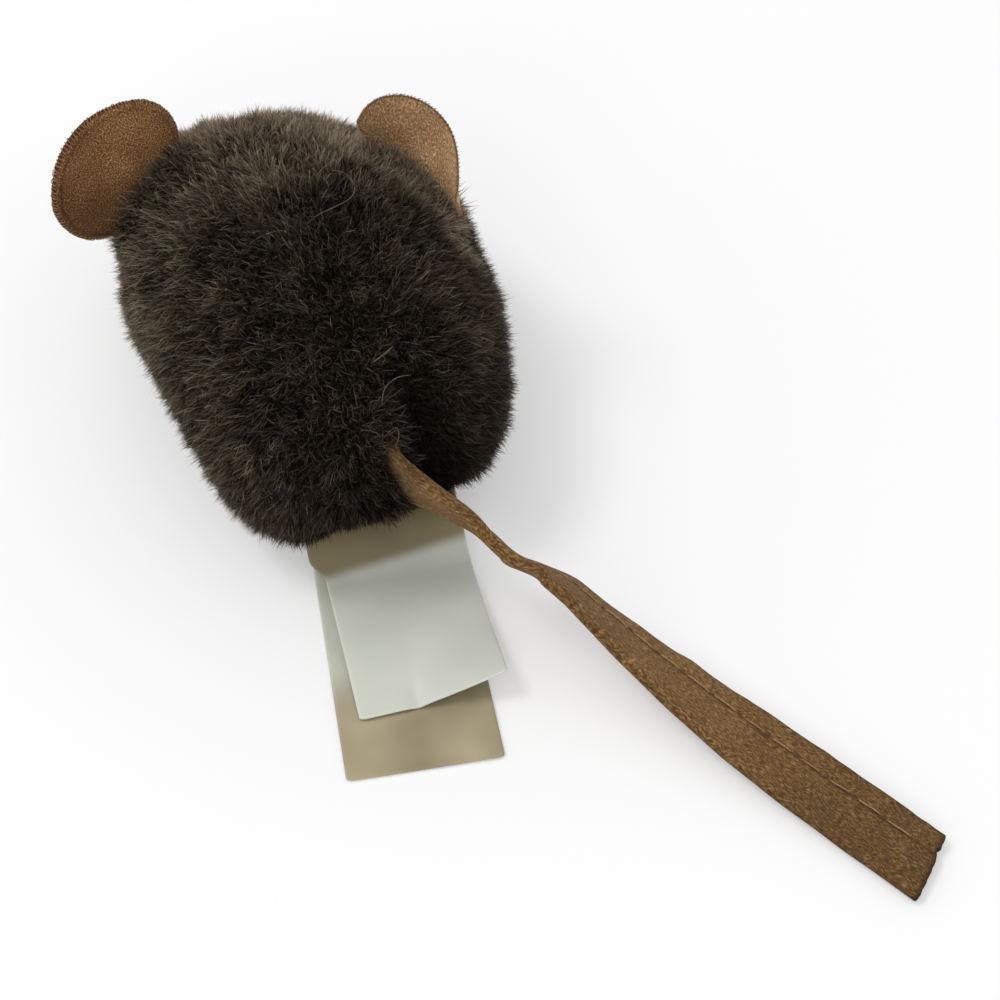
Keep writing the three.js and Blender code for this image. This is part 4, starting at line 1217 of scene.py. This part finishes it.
def buildTail():
    t = np.linspace(0, 1, tailLook["rows"])
    spine, (ahead, across, depth) = tailSpine(t), tailFrames(t)
    way = wayAlong(spine)
    width = tail["rootWidth"] + (tail["width"] - tail["rootWidth"]) * smooth(0, 0.5, t)
    grid, edges, flatAcross, kink = [], [], [], tailLook["kink"]
    for row in range(len(t)):
        aside, deep = tailPath(width[row])
        fromOpen = aside + width[row] / 2
        flatAcross.append(np.concatenate([[0], np.cumsum(np.hypot(np.diff(aside), np.diff(deep)))]))
        sewn = smooth(tailLook["sewnFrom"], tailLook["sewnFrom"] + 8, way[row])
        atSeam = np.exp(-(((fromOpen - tailLook["seam"]) / 0.7) ** 2))
        between = 0.5 + 0.5 * np.cos(2 * math.pi * way[row] / tailLook["pitch"])
        wave = waveAt(way[row], fromOpen)
        deep = deep - np.sign(deep) * tailLook["dimple"] * (0.5 + 0.5 * between) * atSeam * sewn
        # The cut end runs askew and a little ragged, more so at the open edges
        nearEnd = smooth(9, 0, way[-1] - way[row])
        cut = 0.6 - tailLook["skew"] * (1 - fromOpen / width[row]) ** 1.2
        notch = 1.6 * np.exp(-(((fromOpen - 2.8) / 0.6) ** 2))
        notch = notch + 0.18 * np.sin(3.1 * fromOpen + 1.0 + 1.4 * np.sign(deep))
        ragged = nearEnd * cut - tailLook["ragged"] * notch * smooth(1.5, 0, way[-1] - way[row])
        frayed = 0.06 * np.sin(way[row] * 0.9 + np.sin(way[row] * 0.37) * 2) * smooth(1.0, 0, fromOpen)
        bent = np.exp(-(((way[row] - kink["at"]) / kink["width"]) ** 2))
        frayed = frayed - kink["depth"] * bent * smooth(2.5, 0, fromOpen)
        crosswise = (aside + frayed)[:, None] * across[row] + deep[:, None] * depth[row]
        grid.append(spine[row] + crosswise + up * tailLook["waves"] * wave[:, None] + ahead[row] * ragged[:, None])
        end = smooth(0.9, 0, way[-1] - way[row])
        # Darker at the cut edges, at the cut end, near the root and towards the far end; painted shade along the sunk
        # seam and in small puckers of the fold
        pucker = 0.45 + 0.45 * smooth(-0.2, 0.6, math.sin(way[row] * 4.4))
        edges.append(0.7 * smooth(0.5, 0.05, fromOpen) + pucker * smooth(width[row] - 0.8, width[row] - 0.1, fromOpen)
                     + 0.55 * np.exp(-(((fromOpen - tailLook["seam"] - 0.16) / 0.2) ** 2)) * sewn * (1 - 0.5 * between)
                     + 0.7 * end + 0.3 * smooth(12, 4, way[row]) + 0.3 * smooth(60, 95, way[row]))
    grid = np.array(grid)
    grid[..., 2] = np.maximum(grid[..., 2], tail["ply"] / 2 + 0.05)
    made = sheetMesh("tail", grid, tail["ply"], materials["suede"])
    setAttribute(made, "edge", np.tile(np.clip(np.array(edges), 0, 0.9).ravel(), 2))
    layCloth(made, np.array(flatAcross), way[:, None])
    refined(made, "tail")
    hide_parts("tail_strip")
    # Running stitch through both plies, on both faces, with a small loop where the thread goes through, coloured dark
    # as painted shade of the needle hole
    middle = (tail["ply"] + tail["slit"]) / 2 + tail["ply"] / 2
    for ply, label in ((1, "Upper"), (-1, "Lower")):
        line = spine + across * (tailLook["seam"] - width / 2)[:, None]
        line = line + depth * ply * (middle - tailLook["dimple"] * 0.5)
        line = line + up * tailLook["waves"] * waveAt(way, tailLook["seam"])[:, None]
        stops = np.arange(tailLook["sewnFrom"] + 4, way[-1] - 4.5, tailLook["pitch"])
        places = placesAt(stops, way, line)
        facing = [unit(placesAt(stops, way, rows)) for rows in (ahead, depth * ply)]
        bow = np.linspace(-1, 1, 11)
        dash = np.stack([bow * tailLook["pitch"] * 0.36, 0.06 * np.sin(bow * 3), 0.2 * (1 - bow**4) - 0.02], 1)
        dash = tube("dash", dash, tailLook["thread"])
        dashes = sew("tailStitches" + label, places, *facing, dash, materials["thread"], turn=2.5, scatter=0.6, seed=8)
        bendWithTail(dashes)
        bow = np.linspace(0, 2 * math.pi, 11)[:-1]
        size = tailLook["knot"]
        ring = np.stack([size * np.cos(bow), size * 0.6 * np.sin(bow), 0.06 + 0.05 * np.cos(bow)], 1)
        ring = tube("knot", ring, 0.08, 5, closed=True)
        between = placesAt(stops[:-1] + tailLook["pitch"] / 2, way, line)
        facing = [rows[:-1] for rows in facing]
        bendWithTail(sew("tailKnots" + label, between, *facing, ring, materials["knot"], turn=50, scatter=8, seed=9))
    bendWithTail(made)


def bendWithTail(made):
    bends(made, ("body", "tail"), tailRoot, tailFrames(np.array([0.0]))[0][0], tailLook["flex"])


buildTail()
print("tail is ready")

# Care label: two leaves of tape sewn in the rump seam, left without any print; sizes in millimetres
leafLook = {"rows": 90, "columns": 40, "wave": 0.35, "corner": 0.3, "flat": 0.6, "crease": 0.4, "flex": 5}


def leafFrame(leaf):
    back = turnAbout((0, -1, 0), up, leaf["heading"])
    root = np.array([leaf["side"], label["sink"] - body["rump"], label["rootHeight"] + leaf["rise"]])
    return root, np.cross(back, up), back


def buildLeaf(name, leaf, node, material, bodies):
    root, left, back = leafFrame(leaf)
    way = np.linspace(0, leaf["length"], leafLook["rows"])[:, None]
    across = np.linspace(0, 1, leafLook["columns"])[None]
    share, half = way / leaf["length"], label["width"] / 2
    fall = smooth(label["hem"], label["fall"], way)
    lift = leaf["curl"] * share**3 * np.clip(1 - across / leafLook["flat"], 0, 1) ** 1.25
    folded = np.exp(-(((across - leafLook["flat"]) / 0.05) ** 2))
    crease = leafLook["crease"] * (leaf["curl"] > 0) * smooth(0.84, 0.99, share) * folded
    height = root[2] + lift - crease - (root[2] - leaf["lie"]) * fall
    wave = np.sin(way * 0.21 + across * 2.2 + leaf["rise"]) + 0.5 * np.sin(way * 0.43 - across * 4.0)
    height = height + leafLook["wave"] * wave * smooth(8, 18, way) * (0.3 + 0.7 * (leaf["lie"] > 1))
    height = height + leafLook["wave"] * 0.3
    aside = (2 * across - 1) * half - leaf["flare"] * share * (1 - across)
    aside = aside + leaf["shoulder"] * smooth(11, 7.5, way) * smooth(0.5, 1, across)
    # Corners cut with a small radius
    inner = np.clip(1 - (half - np.abs(2 * across - 1) * half) / leafLook["corner"], 0, 1)
    way = way - leafLook["corner"] * (1 - np.sqrt(1 - inner**2)) * smooth(0.94, 1.0, share)
    grid = root * [1, 1, 0] + aside[..., None] * left + way[..., None] * back + height[..., None] * up
    grid[..., 2] = np.maximum(grid[..., 2], label["thickness"] / 2 + 0.05)
    made = sheetMesh(name, grid, label["thickness"], material)
    # A stain, and on the upper leaf where it comes out of the pile also painted shade
    aged = smooth(*leaf["aged"], way - 2.2 * across)
    setAttribute(made, "shade", np.tile(aged.ravel(), 2))
    layCloth(made, across * label["width"], way)
    refined(made, name)
    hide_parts(node)
    bends(made, bodies, root, back, leafLook["flex"])


buildLeaf("lowerLeaf", label["lower"], "label_lower_leaf", materials["tape"], ("body", "label_lower"))
buildLeaf("upperLeaf", label["upper"], "label_upper_leaf", materials["satin"], ("label_lower", "label_upper"))
print("label is ready")


# Face: round eyes on stems, and a nose wound over with embroidery thread
def buildEye(side):
    place, along, across, out = eyeFrames[side]
    arc = np.linspace(0, math.pi / 2, 15)
    stem = skin["depth"] + skin["backing"] + 1
    profile = [(0, -stem), (face["stem"], -stem), (face["stem"], -0.3), (face["eyeRadius"] * 0.9, -0.25)]
    profile += [(face["eyeRadius"] * math.cos(a), face["eyeRadius"] * math.sin(a)) for a in arc[:-1]]
    profile += [(0, face["eyeRadius"])]
    turn = 2 * np.pi * np.arange(40) / 40
    rings = [
        [place + out * high + wide * (along * math.cos(a) + across * math.sin(a)) for a in turn]
        for wide, high in profile[1:-1]
    ]
    points = np.concatenate([np.concatenate(rings), [place + out * profile[0][1], place + out * profile[-1][1]]])
    made = newMesh(side + "Eye", points, ballFaces(len(rings), len(turn)), materials["gloss"])
    onBody(made)
    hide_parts(side + "_eye")


def buildNose():
    radius = face["noseRadius"] - 0.25
    rows, sides = 24, 36
    t = np.linspace(0, math.pi, rows)[1:-1, None]
    turn = 2 * np.pi * np.arange(sides)[None] / sides
    ring = radius * np.sin(t)
    ball = np.stack([ring * np.cos(turn), radius * np.cos(t) + 0 * turn, ring * np.sin(turn)], -1)
    points = np.concatenate([ball.reshape(-1, 3), [[0, radius, 0], [0, -radius, 0]]]) + noseTip
    made = newMesh("nose", points, ballFaces(rows - 2, sides), materials["noseThread"])
    onBody(made)
    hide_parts("nose")
    turn = np.linspace(0, 2 * math.pi, 37)[:-1]
    hoop = tube("hoop", np.stack([0 * turn, np.cos(turn), np.sin(turn)], 1) * radius, 0.2, 6, closed=True)
    along = np.linspace(-0.93, 0.97, 15)
    ring = np.sqrt(1 - along**2)
    spots = noseTip + np.array([0, radius, 0]) * along[:, None]
    ahead, out = np.tile([0.0, 1, 0], (15, 1)), np.tile([0.0, 0, 1], (15, 1))
    size = np.stack([0.8 + 0 * ring, ring, ring], 1)
    wound = sew("noseThreads", spots, ahead, out, hoop, materials["noseThread"], turn=2, scatter=1, seed=4, size=size)
    onBody(wound)


for side in ("left", "right"):
    buildEye(side)
buildNose()


# Filling: a padded mass of fibre inside the skin, hollow round the sound module; depth below the pile's outer
# surface and gap in millimetres
stuffing = {"rows": 60, "sides": 56, "depth": 6.8, "gap": 0.3}


def buildFilling():
    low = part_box("fibre_filling")[0]
    caseLow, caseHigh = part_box("module_case_base")[0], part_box("module_case_lid")[1]
    rows, sides, depth, gap = stuffing["rows"], stuffing["sides"], stuffing["depth"], stuffing["gap"]
    t = np.linspace(0, 1, rows)[:, None]
    angle = 2 * np.pi * np.arange(sides)[None] / sides
    points = bodyPoint(t + 0 * angle, angle, depth)
    points[..., 2] = np.maximum(points[..., 2], low.z / mm)
    inner = points[1:-1].reshape(-1, 3)
    places = np.concatenate([inner, points[:1, 0], points[-1:, 0]])
    made = newMesh("filling", places, ballFaces(rows - 2, sides), materials["filling"])
    solid = bmesh.new()
    solid.from_mesh(made.data)
    bmesh.ops.recalc_face_normals(solid, faces=solid.faces[:])
    solid.to_mesh(made.data)
    solid.free()
    radius = (caseHigh.x - caseLow.x) / mm / 2 + gap
    top, count = caseHigh.z / mm + gap, 48
    turn = 2 * np.pi * np.arange(count) / count
    ring = np.stack([radius * np.cos(turn), radius * np.sin(turn)], 1)
    ends = [np.column_stack([ring, np.full(count, z)]) for z in (low.z / mm - 2, top)]
    walls = [(c, (c + 1) % count, count + (c + 1) % count, count + c) for c in range(count)]
    lids = [tuple(reversed(range(count))), tuple(range(count, 2 * count))]
    core = newMesh("core", np.concatenate(ends), walls + lids)
    cut = made.modifiers.new("pocket", "BOOLEAN")
    cut.operation, cut.object, cut.solver = "DIFFERENCE", core, "EXACT"
    applied(made, "filling")
    bpy.data.objects.remove(core)
    onBody(made)
    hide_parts("fibre_filling")


buildFilling()

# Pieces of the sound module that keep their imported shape
finishes = {
    "case": ("module_case_base", "module_case_lid", "left_eye_washer", "right_eye_washer"),
    "board": ("circuit_board",),
    "brass": ("sounder_disc", "shake_switch_post"),
    "resin": ("sound_chip",),
    "steel": (
        "button_cell_1", "button_cell_2", "button_cell_3", "cell_contact_plate",
        "shake_switch_spring", "lid_screw_left", "lid_screw_right",
    ),
    "foam": ("foam_pad",),
}
for finish, names in finishes.items():
    for name in names:
        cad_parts[name].data.materials.clear()
        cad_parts[name].data.materials.append(materials[finish])
print("face, filling and sound module are ready")


# Floor: a plain pale sheet that the camera sees as nearly white, with the mouse's shadow on it
def seenAs(add, lit, white, share):
    # What the camera, gloss and glass see is whitened by a share; what lights the mouse stays as it is
    ray = add("ShaderNodeLightPath", out=None)
    looks = ray["Is Camera Ray"]
    for kind in ("Is Glossy Ray", "Is Transmission Ray"):
        looks = add("ShaderNodeMath", {0: looks, 1: ray[kind]}, operation="MAXIMUM")
    looks = add("ShaderNodeMath", {0: looks, 1: share}, operation="MULTIPLY")
    return add("ShaderNodeMixShader", {0: looks, 1: lit, 2: white})


def layFloor():
    half = view["floorSize"] / 2
    floor = newMesh("floor", [(-half, -half, 0), (half, -half, 0), (half, half, 0), (-half, half, 0)], [(0, 1, 2, 3)])
    paper = {"Base Color": view["floorShade"], "Roughness": 1.0, "Specular IOR Level": 0.0}
    material, add, shader = newMaterial("mattPaper", paper)
    seen = seenAs(add, shader.outputs[0], add("ShaderNodeEmission", {"Strength": 1.0}), view["floorWhite"])
    tree = material.node_tree
    tree.links.new(seen, tree.nodes["Material Output"].inputs["Surface"])
    floor.data.materials.append(material)
    world = bpy.data.worlds.new("studio")
    world.use_nodes = True
    bpy.context.scene.world = world
    tree = world.node_tree
    add, lit = partial(addNode, tree), tree.nodes["Background"]
    lit.inputs["Color"].default_value = toLinear(view["worldShade"])
    lit.inputs["Strength"].default_value = view["worldStrength"]
    white = add("ShaderNodeBackground", {"Color": toLinear("#ffffff"), "Strength": 1.0})
    tree.links.new(seenAs(add, lit.outputs[0], white, 1.0), tree.nodes["World Output"].inputs["Surface"])


layFloor()
scene = bpy.context.scene
scene.view_settings.view_transform = "Standard"
print("scene is complete")
